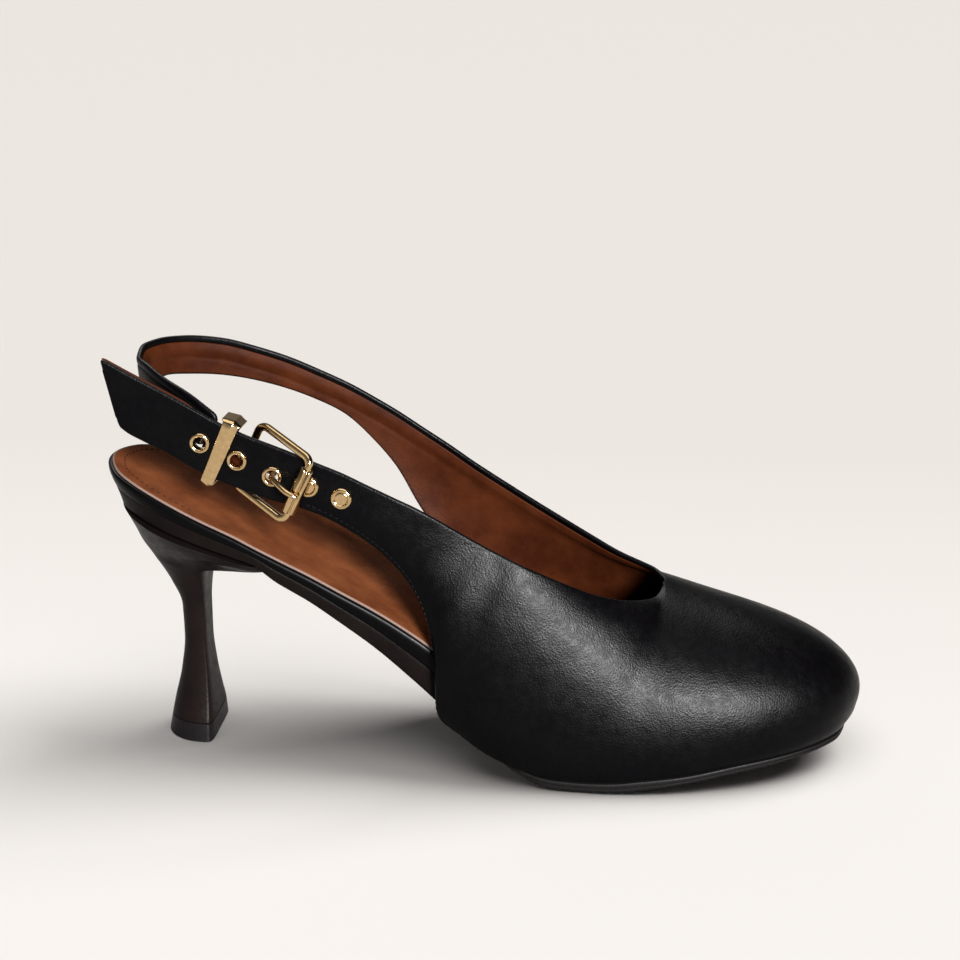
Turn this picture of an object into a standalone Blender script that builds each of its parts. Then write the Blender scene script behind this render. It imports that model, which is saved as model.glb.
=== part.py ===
"""A right slingback pump on a flared heel, built in metres with the foot along +X.

Origin: centre of the heel tip's flat underside. +X to the toe, +Y to the inner side, +Z up.
"""

import math

import bmesh
import bpy
import numpy as np
from mathutils import Matrix, Vector

# Named sizes of the shoe, in metres.
FOOT_LENGTH = 0.220
BALL_HALF = 0.036
SEAT_HEIGHT = 0.082
RIDGE_Y = 0.0025
GAP = 0.0003
WALL = 0.0016
SOCK = 0.0008
TREAD_LIFT = 0.0005
TIP_HEIGHT = 0.0055

# Named sizes of the metal parts, in metres.
BAR_RADIUS = 0.0011
FRAME_LENGTH = 0.0165
FRAME_HALF = 0.0099
ROLLER_RADIUS = 0.0020
PRONG_RADIUS = 0.0009
EYELET_RADIUS = 0.0031
EYELET_BORE = 0.0016
HOLE_RADIUS = 0.0021
KEEPER_HALF = 0.0105
KEEPER_WIDTH = 0.0036
TAB_WIDTH = 0.0080
TAB_THICKNESS = 0.0012

# Upper: one row for each section, from the free end of the buckle strap, round the
# toe, to the folded end of the heel strap. Low and top points are shares of length,
# half width and seat height; faces are the headings of the wall in degrees; bulge and
# spread are shares of the half width, rise and fall shares of the section's height.
# low x, low y, low z, top x, top y, top z, faces low, faces top, bulge, rise, spread, fall
UPPER = (
    (-0.051, -0.708,  1.246, -0.071, -0.708,  1.487,  -92,  -92, 0.000, 0.330, 0.000, 0.330),
    (-0.039, -0.714,  1.223, -0.033, -0.714,  1.432,  -92,  -92, 0.000, 0.330, 0.000, 0.330),
    (-0.022, -0.719,  1.200,  0.006, -0.719,  1.378,  -92,  -92, 0.000, 0.330, 0.000, 0.330),
    ( 0.009, -0.728,  1.161,  0.044, -0.728,  1.324,  -92,  -92, 0.000, 0.330, 0.000, 0.330),
    ( 0.045, -0.736,  1.107,  0.081, -0.736,  1.271,  -92,  -92, 0.000, 0.330, 0.000, 0.330),
    ( 0.080, -0.744,  1.065,  0.113, -0.744,  1.234,  -92,  -92, 0.000, 0.330, 0.000, 0.330),
    ( 0.114, -0.753,  1.032,  0.145, -0.753,  1.204,  -92,  -92, 0.000, 0.330, 0.000, 0.330),
    ( 0.145, -0.761,  1.006,  0.174, -0.761,  1.176,  -92,  -92, 0.000, 0.330, 0.000, 0.330),
    ( 0.176, -0.772,  0.987,  0.203, -0.772,  1.146,  -92,  -92, 0.006, 0.330, 0.003, 0.330),
    ( 0.206, -0.781,  0.961,  0.234, -0.778,  1.115,  -92,  -92, 0.011, 0.330, 0.006, 0.330),
    ( 0.236, -0.792,  0.922,  0.264, -0.786,  1.079,  -92,  -92, 0.019, 0.330, 0.011, 0.330),
    ( 0.266, -0.800,  0.872,  0.297, -0.794,  1.040,  -92,  -91, 0.031, 0.330, 0.019, 0.330),
    ( 0.295, -0.803,  0.806,  0.330, -0.785,  0.998,  -92,  -90, 0.034, 0.336, 0.026, 0.352),
    ( 0.320, -0.801,  0.720,  0.359, -0.766,  0.953,  -92,  -88, 0.055, 0.347, 0.032, 0.366),
    ( 0.341, -0.818,  0.595,  0.391, -0.738,  0.899,  -93,  -86, 0.127, 0.371, 0.055, 0.363),
    ( 0.351, -0.829,  0.457,  0.422, -0.730,  0.853,  -95,  -84, 0.225, 0.395, 0.104, 0.336),
    ( 0.354, -0.804,  0.248,  0.453, -0.732,  0.812,  -98,  -82, 0.262, 0.403, 0.180, 0.297),
    ( 0.386, -0.854,  0.174,  0.486, -0.703,  0.769,  -99,  -81, 0.250, 0.392, 0.228, 0.256),
    ( 0.423, -0.903,  0.113,  0.521, -0.656,  0.723,  -98,  -81, 0.209, 0.382, 0.276, 0.223),
    ( 0.468, -0.944,  0.070,  0.560, -0.568,  0.673,  -95,  -82, 0.173, 0.369, 0.352, 0.170),
    ( 0.518, -0.967,  0.046,  0.599, -0.433,  0.637,  -92,  -84, 0.154, 0.358, 0.451, 0.110),
    ( 0.573, -0.969,  0.046,  0.631, -0.227,  0.620,  -88,  -86, 0.151, 0.344, 0.557, 0.046),
    ( 0.650, -0.928,  0.067,  0.643,  0.069,  0.638,  -81,  -90, 0.161, 0.346, 0.713, 0.000),
    ( 0.745, -0.800,  0.102,  0.643,  0.069,  0.638,  -68,  -76, 0.186, 0.361, 0.678, 0.000),
    ( 0.827, -0.572,  0.122,  0.643,  0.069,  0.638,  -54,  -62, 0.220, 0.400, 0.673, 0.000),
    ( 0.877, -0.267,  0.135,  0.643,  0.069,  0.638,  -30,  -38, 0.256, 0.430, 0.653, 0.000),
    ( 0.895,  0.069,  0.140,  0.643,  0.069,  0.638,    0,    0, 0.283, 0.440, 0.653, 0.000),
    ( 0.879,  0.397,  0.135,  0.643,  0.069,  0.638,   30,   38, 0.256, 0.430, 0.653, 0.000),
    ( 0.830,  0.700,  0.122,  0.643,  0.069,  0.638,   52,   60, 0.239, 0.410, 0.625, 0.000),
    ( 0.745,  0.911,  0.102,  0.643,  0.069,  0.638,   68,   74, 0.228, 0.380, 0.583, 0.000),
    ( 0.650,  1.000,  0.067,  0.643,  0.069,  0.638,   84,   90, 0.222, 0.370, 0.583, 0.000),
    ( 0.564,  0.967,  0.045,  0.624,  0.236,  0.647,   98,   92, 0.194, 0.360, 0.417, 0.060),
    ( 0.505,  0.878,  0.049,  0.582,  0.375,  0.688,  104,   95, 0.172, 0.350, 0.306, 0.130),
    ( 0.455,  0.778,  0.077,  0.540,  0.486,  0.737,  106,   97, 0.161, 0.340, 0.236, 0.190),
    ( 0.414,  0.700,  0.126,  0.499,  0.575,  0.789,  105,   98, 0.161, 0.330, 0.194, 0.240),
    ( 0.382,  0.650,  0.183,  0.456,  0.644,  0.848,  102,   98, 0.167, 0.330, 0.167, 0.270),
    ( 0.352,  0.617,  0.250,  0.417,  0.703,  0.904,   98,   97, 0.172, 0.330, 0.139, 0.300),
    ( 0.345,  0.683,  0.457,  0.380,  0.744,  0.961,   94,   95, 0.133, 0.330, 0.100, 0.320),
    ( 0.327,  0.750,  0.646,  0.344,  0.778,  1.022,   91,   92, 0.089, 0.330, 0.061, 0.330),
    ( 0.294,  0.778,  0.802,  0.309,  0.794,  1.080,   90,   90, 0.050, 0.330, 0.033, 0.330),
    ( 0.268,  0.792,  0.926,  0.274,  0.800,  1.140,   89,   89, 0.028, 0.330, 0.017, 0.330),
    ( 0.235,  0.789,  1.035,  0.241,  0.792,  1.193,   88,   88, 0.014, 0.330, 0.008, 0.330),
    ( 0.198,  0.778,  1.128,  0.206,  0.778,  1.246,   87,   87, 0.006, 0.330, 0.003, 0.330),
    ( 0.161,  0.756,  1.182,  0.168,  0.756,  1.295,   86,   86, 0.000, 0.330, 0.000, 0.330),
    ( 0.117,  0.722,  1.229,  0.125,  0.722,  1.347,   85,   85, 0.000, 0.330, 0.000, 0.330),
    ( 0.070,  0.667,  1.266,  0.079,  0.667,  1.392,   82,   82, 0.000, 0.330, 0.000, 0.330),
    ( 0.031,  0.575,  1.290,  0.037,  0.575,  1.429,  112,  112, 0.000, 0.330, 0.000, 0.330),
    (-0.005,  0.431,  1.306, -0.007,  0.431,  1.450,  130,  130, 0.000, 0.330, 0.000, 0.330),
    (-0.030,  0.250,  1.318, -0.037,  0.250,  1.456,  150,  150, 0.000, 0.330, 0.000, 0.330),
    (-0.042,  0.028,  1.309, -0.051,  0.028,  1.453,  172,  172, 0.000, 0.330, 0.000, 0.330),
    (-0.043, -0.167,  1.295, -0.048, -0.167,  1.437,  196,  196, 0.000, 0.330, 0.000, 0.330),
    (-0.030, -0.333,  1.278, -0.031, -0.333,  1.430,  220,  220, 0.000, 0.330, 0.000, 0.330),
    (-0.012, -0.472,  1.256, -0.002, -0.472,  1.398,  238,  238, 0.000, 0.330, 0.000, 0.330),
    ( 0.017, -0.578,  1.229,  0.034, -0.578,  1.358,  253,  253, 0.000, 0.330, 0.000, 0.330),
    ( 0.045, -0.642,  1.185,  0.068, -0.642,  1.301,  262,  262, 0.000, 0.330, 0.000, 0.330),
    ( 0.055, -0.653,  1.170,  0.079, -0.653,  1.283,  264,  264, 0.000, 0.330, 0.000, 0.330),
)
TAIL_ROW = 0
TOE_ROW = 26
FAN = 4
END_ROW = len(UPPER) - 1

# Top line of the closed vamp from the toe back to the throat: x share, z share. The last
# point stands twice, so the sections slow down there and fan smoothly round the throat.
# In the table above, the closed rows keep the throat's top point for the same reason.
RIDGE = ((0.786, 0.509), (0.777, 0.518), (0.745, 0.548), (0.691, 0.594), (0.643, 0.638),
         (0.643, 0.638))

# Heights along the foot: x share, then z shares of the seat height.
LEVELS = ("x", "insole top", "tread top", "tread underside")
HEIGHTS = (
    (-0.095, 1.063, 0.962, 0.920),
    (-0.045, 1.016, 0.917, 0.880),
    (0.000, 0.966, 0.880, 0.843),
    (0.045, 0.913, 0.843, 0.805),
    (0.091, 0.860, 0.803, 0.767),
    (0.116, 0.826, 0.772, 0.745),
    (0.136, 0.800, 0.737, 0.702),
    (0.160, 0.769, 0.703, 0.664),
    (0.182, 0.741, 0.666, 0.630),
    (0.227, 0.677, 0.587, 0.547),
    (0.273, 0.611, 0.501, 0.457),
    (0.318, 0.538, 0.408, 0.354),
    (0.350, 0.479, 0.322, 0.275),
    (0.386, 0.396, 0.213, 0.180),
    (0.418, 0.313, 0.134, 0.110),
    (0.455, 0.232, 0.073, 0.046),
    (0.482, 0.180, 0.049, 0.016),
    (0.509, 0.143, 0.040, 0.000),
    (0.545, 0.120, 0.038, 0.000),
    (0.582, 0.110, 0.041, 0.000),
    (0.618, 0.112, 0.051, 0.009),
    (0.682, 0.125, 0.069, 0.034),
    (0.750, 0.146, 0.097, 0.063),
    (0.818, 0.172, 0.116, 0.088),
    (0.895, 0.198, 0.132, 0.105),
)

# Plan outlines, near side from toe to heel: x share, y shares of the half width.
# x, insole near, insole far, tread near, tread far, insole set back
OUTLINES = (
    (0.891, 0.07, 0.07, 0.07, 0.07, 0.0075),
    (0.880, -0.16, 0.30, -0.24, 0.38, 0.0078),
    (0.855, -0.34, 0.48, -0.44, 0.57, 0.007),
    (0.800, -0.56, 0.67, -0.67, 0.79, 0.004),
    (0.730, -0.73, 0.81, -0.82, 0.93, 0.002),
    (0.650, -0.85, 0.90, -0.93, 1.00, 0.0),
    (0.575, -0.895, 0.88, -0.965, 0.97, 0.0),
    (0.500, -0.88, 0.80, -0.94, 0.88, 0.0),
    (0.440, -0.84, 0.69, -0.83, 0.70, 0.0),
    (0.386, -0.78, 0.59, -0.73, 0.575, 0.0),
    (0.340, -0.735, 0.55, -0.68, 0.54, 0.0),
    (0.270, -0.71, 0.56, -0.66, 0.54, 0.0),
    (0.180, -0.70, 0.60, -0.66, 0.58, 0.0),
    (0.115, -0.685, 0.625, -0.655, 0.605, 0.0),
    (0.060, -0.665, 0.64, -0.64, 0.62, 0.0),
    (0.020, -0.635, 0.63, -0.61, 0.61, 0.0),
    (-0.040, -0.515, 0.53, -0.50, 0.51, 0.0),
    (-0.077, -0.315, 0.33, -0.30, 0.32, 0.0),
    (-0.0925, 0.0, 0.0, 0.0, 0.0, 0.0),
)

# Heel block from the tip's underside up: z at the origin share, slope, back x share,
# front x share, half width share at the breast, share of the length that is rounded.
HEEL = (
    (0.000, 0.00, -0.035, 0.036, 0.340, 0.80),
    (0.068, 0.00, -0.030, 0.035, 0.312, 0.80),
    (0.130, 0.00, -0.025, 0.033, 0.255, 0.80),
    (0.240, 0.00, -0.015, 0.029, 0.185, 0.80),
    (0.370, 0.00, -0.009, 0.026, 0.150, 0.80),
    (0.490, 0.00, -0.010, 0.026, 0.155, 0.80),
    (0.585, 0.04, -0.020, 0.028, 0.200, 0.78),
    (0.670, 0.10, -0.039, 0.036, 0.300, 0.74),
    (0.728, 0.19, -0.060, 0.098, 0.430, 0.62),
    (0.786, 0.26, -0.074, 0.111, 0.530, 0.59),
    (0.838, 0.314, -0.087, 0.113, 0.615, 0.56),
)


# Smooth curves through table rows.


def steady(rows, at):
    """Cubic through equally spaced rows; slopes are harmonic means, so it never overshoots."""
    rows = np.asarray(rows, float)
    step = np.diff(rows, axis=0)
    before, after = step[:-1], step[1:]
    same = before * after > 0
    total = np.where(same, before + after, 1.0)
    slope = np.zeros_like(rows)
    slope[1:-1] = np.where(same, 2 * before * after / total, 0.0)
    slope[0], slope[-1] = step[0], step[-1]
    at = np.clip(np.asarray(at, float), 0, len(rows) - 1)
    i = np.minimum(np.floor(at).astype(int), len(rows) - 2)
    u = (at - i)[..., None]
    return ((1 + 2 * u) * (1 - u) ** 2 * rows[i] + u * (1 - u) ** 2 * slope[i]
            + u * u * (3 - 2 * u) * rows[i + 1] + u * u * (u - 1) * slope[i + 1])


def by_x(table, column, x):
    """Value of one table column at x, by the same cubic on unevenly spaced rows."""
    table = np.asarray(table, float)
    knots, values = table[:, 0], table[:, column]
    order = np.argsort(knots)
    knots, values = knots[order], values[order]
    width = np.diff(knots)
    chord = np.diff(values) / width
    same = chord[:-1] * chord[1:] > 0
    lean = np.zeros_like(values)
    safe = np.where(same, chord[:-1], 1.0), np.where(same, chord[1:], 1.0)
    ahead, behind = 2 * width[1:] + width[:-1], width[1:] + 2 * width[:-1]
    lean[1:-1] = np.where(same, (ahead + behind) / (ahead / safe[0] + behind / safe[1]), 0.0)
    lean[0], lean[-1] = chord[0], chord[-1]
    x = np.clip(np.asarray(x, float), knots[0], knots[-1])
    i = np.clip(np.searchsorted(knots, x) - 1, 0, len(width) - 1)
    u = (x - knots[i]) / width[i]
    return ((1 + 2 * u) * (1 - u) ** 2 * values[i] + u * (1 - u) ** 2 * width[i] * lean[i]
            + u * u * (3 - 2 * u) * values[i + 1] + u * u * (u - 1) * width[i] * lean[i + 1])


def height(level, x):
    """Height in metres of one of the foot's named levels at x in metres."""
    return by_x(HEIGHTS, LEVELS.index(level), np.asarray(x) / FOOT_LENGTH) * SEAT_HEIGHT


# Scene, materials and meshes.


def clear_scene():
    for item in list(bpy.data.objects):
        bpy.data.objects.remove(item, do_unlink=True)
    for group in list(bpy.data.collections):
        bpy.data.collections.remove(group)


def new_collection(name):
    group = bpy.data.collections.new(name)
    bpy.context.scene.collection.children.link(group)
    return group


def material(name, color, metallic, roughness):
    slot = bpy.data.materials.new(name)
    slot.use_nodes = True
    shader = slot.node_tree.nodes["Principled BSDF"]
    shader.inputs["Base Color"].default_value = (*color, 1.0)
    shader.inputs["Metallic"].default_value = metallic
    shader.inputs["Roughness"].default_value = roughness
    slot.diffuse_color = (*color, 1.0)
    return slot


def mesh_object(name, points, faces, group, slot=None, weld=2e-5):
    """Object from points and faces, welded and turned outwards."""
    mesh = bpy.data.meshes.new(name)
    mesh.from_pydata([tuple(p) for p in points], [], [tuple(f) for f in faces])
    work = bmesh.new()
    work.from_mesh(mesh)
    bmesh.ops.remove_doubles(work, verts=work.verts, dist=weld)
    bmesh.ops.dissolve_degenerate(work, edges=work.edges, dist=1e-6)
    bmesh.ops.recalc_face_normals(work, faces=work.faces)
    work.to_mesh(mesh)
    work.free()
    item = bpy.data.objects.new(name, mesh)
    group.objects.link(item)
    if slot is not None:
        mesh.materials.append(slot)
    return item


def grid_faces(rows, columns, closed=False):
    """Quads of a grid of points, row after row; closed joins the last column to the first."""
    faces = []
    for i in range(rows - 1):
        for j in range(columns if closed else columns - 1):
            k = (j + 1) % columns
            faces.append((i * columns + j, i * columns + k,
                          (i + 1) * columns + k, (i + 1) * columns + j))
    return faces


def loft(name, sections, group, slot, weld=2e-5):
    """Closed body through closed sections of equal point count, flat ends filled."""
    rows, columns = len(sections), len(sections[0])
    faces = grid_faces(rows, columns, closed=True)
    faces.append(tuple(range(columns)))
    faces.append(tuple((rows - 1) * columns + j for j in range(columns)))
    return mesh_object(name, np.concatenate(sections), faces, group, slot, weld)


def tube(name, path, radius, group, slot, closed=False, sides=3):
    """Wire along a path, turned from a curve with a round bevel into a mesh."""
    curve = bpy.data.curves.new(name, "CURVE")
    curve.dimensions = "3D"
    curve.bevel_depth = radius
    curve.bevel_resolution = sides
    curve.use_fill_caps = not closed
    spline = curve.splines.new("POLY")
    spline.points.add(len(path) - 1)
    for point, place in zip(spline.points, path):
        point.co = (*place, 1.0)
    spline.use_cyclic_u = closed
    wire = bpy.data.objects.new(name + "_curve", curve)
    group.objects.link(wire)
    depsgraph = bpy.context.evaluated_depsgraph_get()
    mesh = bpy.data.meshes.new_from_object(wire.evaluated_get(depsgraph))
    work = bmesh.new()
    work.from_mesh(mesh)
    bmesh.ops.remove_doubles(work, verts=work.verts, dist=1e-6)
    bmesh.ops.recalc_face_normals(work, faces=work.faces)
    work.to_mesh(mesh)
    work.free()
    bpy.data.objects.remove(wire, do_unlink=True)
    item = bpy.data.objects.new(name, mesh)
    group.objects.link(item)
    mesh.materials.clear()
    mesh.materials.append(slot)
    return item


def turned(name, profile, place, group, slot, steps=16):
    """Ring or cap: a profile of radius and height turned round the place's own Z."""
    mesh = bpy.data.meshes.new(name)
    points = [(radius, 0.0, level) for radius, level in profile]
    edges = [(i, i + 1) for i in range(len(points) - 1)]
    if profile[0][0] > 0:
        edges.append((len(points) - 1, 0))
    mesh.from_pydata(points, edges, [])
    mesh.materials.append(slot)
    item = bpy.data.objects.new(name, mesh)
    group.objects.link(item)
    screw = item.modifiers.new("turn", "SCREW")
    screw.angle = math.tau
    screw.steps = steps
    screw.render_steps = steps
    screw.use_merge_vertices = True
    screw.merge_threshold = 0.00002
    item.matrix_world = place
    return item


def cut(target, cutter):
    """Takes the cutter's body out of the target."""
    cutter.hide_render = True
    cutter.display_type = "WIRE"
    taken = target.modifiers.new("cut_" + cutter.name, "BOOLEAN")
    taken.operation = "DIFFERENCE"
    taken.solver = "EXACT"
    taken.object = cutter


# The upper's surface.


def ridge_point(u):
    """Point of the vamp's top line, u rows from the toe."""
    x, z = np.moveaxis(steady(RIDGE, u), -1, 0)
    return np.stack([x * FOOT_LENGTH, np.full_like(x, RIDGE_Y), z * SEAT_HEIGHT], -1)


def ridge_slope(u):
    """Fall of the vamp's top line for each metre forward, zero behind the throat."""
    near, far = ridge_point(np.maximum(u - 0.05, 0.0)), ridge_point(u + 0.05)
    run = np.where(np.abs(far[..., 0] - near[..., 0]) < 1e-9, 1.0, far[..., 0] - near[..., 0])
    return np.where(u <= FAN, (far[..., 2] - near[..., 2]) / run, 0.0)


def upper_point(row, share):
    """Outer face of the upper: a cubic from the low point (share 0) to the top (share 1)."""
    row, share = np.broadcast_arrays(np.asarray(row, float), np.asarray(share, float))
    (low_x, low_y, low_z, top_x, top_y, top_z, faces_low, faces_top,
     bulge, rise, spread, fall) = np.moveaxis(steady(UPPER, row), -1, 0)
    low = np.stack([low_x * FOOT_LENGTH, low_y * BALL_HALF, low_z * SEAT_HEIGHT], -1)
    top = np.stack([top_x * FOOT_LENGTH, top_y * BALL_HALF, top_z * SEAT_HEIGHT], -1)
    along = np.abs(row - TOE_ROW)
    closed = (along <= FAN)[..., None]
    top = np.where(closed, ridge_point(np.minimum(along, FAN)), top)
    tall = (top - low)[..., 2]
    low_turn, top_turn = np.radians(faces_low), np.radians(faces_top)
    out_low = np.stack([np.cos(low_turn), np.sin(low_turn), np.zeros_like(tall)], -1)
    out_top = np.stack([np.cos(top_turn), np.sin(top_turn), np.zeros_like(tall)], -1)
    slope = ridge_slope(along) * np.cos(top_turn)
    out_top[..., 2] = slope
    up = np.array([0.0, 0.0, 1.0])
    lift = low + out_low * (bulge * BALL_HALF)[..., None] + up * (rise * tall)[..., None]
    pull = top + out_top * (spread * BALL_HALF)[..., None] - up * (fall * tall)[..., None]
    straight = (bulge + spread < 1e-4)[..., None]
    lift = np.where(straight, low + (top - low) / 3, lift)
    pull = np.where(straight, top - (top - low) / 3, pull)
    v = share[..., None]
    w = 1 - v
    return w ** 3 * low + 3 * w * w * v * lift + 3 * w * v * v * pull + v ** 3 * top


def build_upper(group, slot):
    """Vamp, quarters and both straps in one skin, thickened inwards to a closed solid."""
    spans = ((TAIL_ROW, 12, 1), (12, 21, 2), (21, 31, 3), (31, 46, 2), (46, END_ROW, 2))
    rows = np.concatenate([np.arange(start, end, 1 / parts) for start, end, parts in spans])
    rows = np.append(rows, END_ROW)
    shares = np.linspace(0.0, 1.0, 9)
    points = upper_point(rows[:, None], shares[None, :]).reshape(-1, 3)
    faces = grid_faces(len(rows), len(shares))
    item = mesh_object("upper", points, faces, group, slot)
    wall = item.modifiers.new("wall", "SOLIDIFY")
    wall.thickness = WALL
    wall.offset = -1.0
    wall.use_even_offset = True
    return item


def strap_place(row, share, inward=0.0):
    """Frame on the buckle strap: X forward along it, Y across and up, Z out of it."""
    here = upper_point(row, share)
    along = upper_point(row + 0.2, share) - upper_point(row - 0.2, share)
    across = upper_point(row, share + 0.1) - upper_point(row, share - 0.1)
    out = np.cross(along, across)
    along /= np.linalg.norm(along)
    out /= np.linalg.norm(out)
    across = np.cross(out, along)
    turn = np.column_stack([along, across, out])
    place = Matrix.Identity(4)
    for i in range(3):
        for j in range(3):
            place[i][j] = turn[i][j]
        place[i][3] = here[i] - out[i] * inward
    return place


# Sole pieces.


def outline(inner):
    """Closed plan outline, toe, near side, heel, far side, with a spine point for each.

    inner picks the insole's columns, otherwise the tread's are used.
    """
    table = np.asarray(OUTLINES, float)
    near, far = (1, 2) if inner else (3, 4)
    back = table[:, 5] if inner else 0.0
    near_side = np.stack([table[:, 0] - back, table[:, near]], -1)
    far_side = np.stack([table[:, 0] - back, table[:, far]], -1)
    last = len(table) - 1
    around = np.concatenate([far_side[1:2], near_side, far_side[last - 1::-1], near_side[1:2]])
    steps = np.arange(0, 2 * last, 0.5)
    edge = steady(around, steps + 1) * [FOOT_LENGTH, BALL_HALF]
    mirror = edge[(len(edge) - np.arange(len(edge))) % len(edge)]
    spine = (edge + mirror) / 2
    spine[:, 0] = np.clip(spine[:, 0], 0.0, 0.79 * FOOT_LENGTH)
    middle = (spine[:, 0] <= 0.0) | (spine[:, 0] >= 0.79 * FOOT_LENGTH)
    spine[middle, 1] = np.where(spine[middle, 0] <= 0.0, 0.0, RIDGE_Y)
    return edge, spine


def grown(edge, by):
    """Outline moved outwards by a distance in metres, round its plan normals."""
    ahead, behind = np.roll(edge, -1, 0), np.roll(edge, 1, 0)
    run = ahead - behind
    run /= np.linalg.norm(run, axis=1, keepdims=True)
    out = np.stack([run[:, 1], -run[:, 0]], -1)
    sense = np.sign(np.sum(out * (edge - edge.mean(0)), axis=1).mean())
    return edge + out * sense * np.asarray(by)[..., None]


def layer(name, edge, spine, top, bottom, round_by, group, slot):
    """Closed layer between two heights, given as functions of x and of the way inwards."""
    inset = grown(edge, np.full(len(edge), -round_by))
    inward = (0.0, 0.45, 1.0)
    rings = [(inset + (spine - inset) * share, share) for share in inward]
    sections = []
    for plan, share in reversed(rings):
        sections.append(np.column_stack([plan, top(plan[:, 0], share)]))
    sections.append(np.column_stack([edge, top(edge[:, 0], 0.0) - round_by]))
    sections.append(np.column_stack([edge, bottom(edge[:, 0], 0.0) + round_by]))
    for plan, share in rings:
        sections.append(np.column_stack([plan, bottom(plan[:, 0], share)]))
    faces = grid_faces(len(sections), len(edge), closed=True)
    return mesh_object(name, np.concatenate(sections), faces, group, slot)


def tread_edge(x):
    """Share of the forepart's rolled-up underside, none under the heel."""
    return np.clip((np.asarray(x) / FOOT_LENGTH - 0.36) / 0.10, 0.0, 1.0)


def build_sole(group, tan, black, rubber):
    """Insole, covered footbed and outsole, one above the other."""
    edge, spine = outline(True)
    behind = np.clip((0.36 - edge[:, 0] / FOOT_LENGTH) / 0.05, 0.0, 1.0)
    at_back = np.clip(-edge[:, 0] / FOOT_LENGTH / 0.09, 0.0, 1.0)
    layer("insole", edge, spine,
          lambda x, share: height("insole top", x),
          lambda x, share: height("insole top", x) - SOCK,
          0.0002, group, tan)
    layer("footbed", grown(edge, behind * 0.0006 + at_back * 0.0008), spine,
          lambda x, share: height("insole top", x) - SOCK - GAP,
          lambda x, share: height("tread top", x) + GAP,
          0.0006, group, black)
    edge, spine = outline(False)
    layer("outsole", edge, spine,
          lambda x, share: height("tread top", x),
          lambda x, share: height("tread underside", x) + TREAD_LIFT * tread_edge(x) * (1 - share) ** 3,
          0.0005, group, rubber)


# Heel and heel tip.


def heel_section(level):
    """Closed ring of the heel at a level of its table: rounded back, flat breast."""
    z, slope, back, front, half, rounded = steady(HEEL, level)
    turn = np.linspace(0.0, math.tau, 32, endpoint=False)
    across, around = np.cos(turn), np.sin(turn)
    length = (front - back) * FOOT_LENGTH
    middle = back * FOOT_LENGTH + rounded * length
    flat = across > 0
    reach = np.where(flat, (1 - rounded) * length * np.abs(across) ** 0.4, rounded * length * across)
    side = np.where(flat, np.sign(around) * np.abs(around) ** 0.4, around)
    x = middle + reach
    return np.stack([x, side * half * BALL_HALF, z * SEAT_HEIGHT - slope * x], -1)


def build_heel(group, cover, rubber):
    """Flared heel block on a separate tip."""
    tip_top = TIP_HEIGHT / (HEEL[1][0] * SEAT_HEIGHT)
    loft("heel_tip", [heel_section(level) for level in (0.0, tip_top)], group, rubber)
    start = (TIP_HEIGHT + GAP) / (HEEL[1][0] * SEAT_HEIGHT)
    levels = [start] + list(range(2, 6)) + [6 + 0.5 * i for i in range(2 * len(HEEL) - 13)]
    loft("heel", [heel_section(level) for level in levels], group, cover)


# Metal parts, built in the strap's own frame.


def to_place(place, points):
    return [place @ Vector(p) for p in points]


def build_eyelets(group, cutters, gold, upper):
    """Three open eyelets and two capped rivets in holes through the strap."""
    ring = ((EYELET_BORE, 0.00055), (0.0019, 0.0008), (0.0025, 0.00085),
            (EYELET_RADIUS, 0.00045), (EYELET_RADIUS, 0.0002), (0.0019, 0.0002),
            (0.0019, -WALL - 0.0002), (0.0027, -WALL - 0.0002),
            (0.0027, -WALL - 0.0006), (EYELET_BORE, -WALL - 0.0006))
    cap = ((0.0, 0.0006), (0.0019, 0.0006), (0.0021, 0.0008)) + ring[2:9] + ((0.0, -WALL - 0.0006),)
    # name, row along the strap, share across it, profile
    marks = (("eyelet_1", 3.76, 0.50, ring), ("eyelet_2", 5.15, 0.50, ring),
             ("eyelet_3", 6.60, 0.45, ring), ("rivet_1", 8.10, 0.50, cap),
             ("rivet_2", 9.45, 0.53, cap))
    for name, row, share, profile in marks:
        place = strap_place(row, share)
        turned(name, profile, place, group, gold)
        bpy.ops.mesh.primitive_cylinder_add(vertices=24, radius=HOLE_RADIUS, depth=0.008)
        hole = bpy.context.active_object
        hole.name = "hole_" + name
        hole.matrix_world = place
        for other in list(hole.users_collection):
            other.objects.unlink(hole)
        cutters.objects.link(hole)
        cut(upper, hole)


def rounded_loop(half_a, half_b, corner, steps=5):
    """Points of a rectangle with rounded corners, in its own plane."""
    points = []
    for sign_a, sign_b, start in ((1, 1, 0), (-1, 1, 90), (-1, -1, 180), (1, -1, 270)):
        for i in range(steps):
            turn = math.radians(start + 90 * i / (steps - 1))
            points.append((sign_a * (half_a - corner) + corner * math.cos(turn),
                           sign_b * (half_b - corner) + corner * math.sin(turn)))
    return points


BUCKLE_ROW = 6.45
BUCKLE_SHARE = 0.50
BUCKLE_TURN = -6.0
HINGE_DEPTH = -0.0060
ROLLER_LIFT = 0.0034


def buckle_place():
    return strap_place(BUCKLE_ROW, BUCKLE_SHARE) @ Matrix.Rotation(math.radians(BUCKLE_TURN), 4, "Z")


def buckle_level(a):
    """Height of the frame's centre line over the strap at a place along it."""
    share = a / FRAME_LENGTH + 0.5
    return HINGE_DEPTH + (ROLLER_LIFT - HINGE_DEPTH) * share


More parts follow.
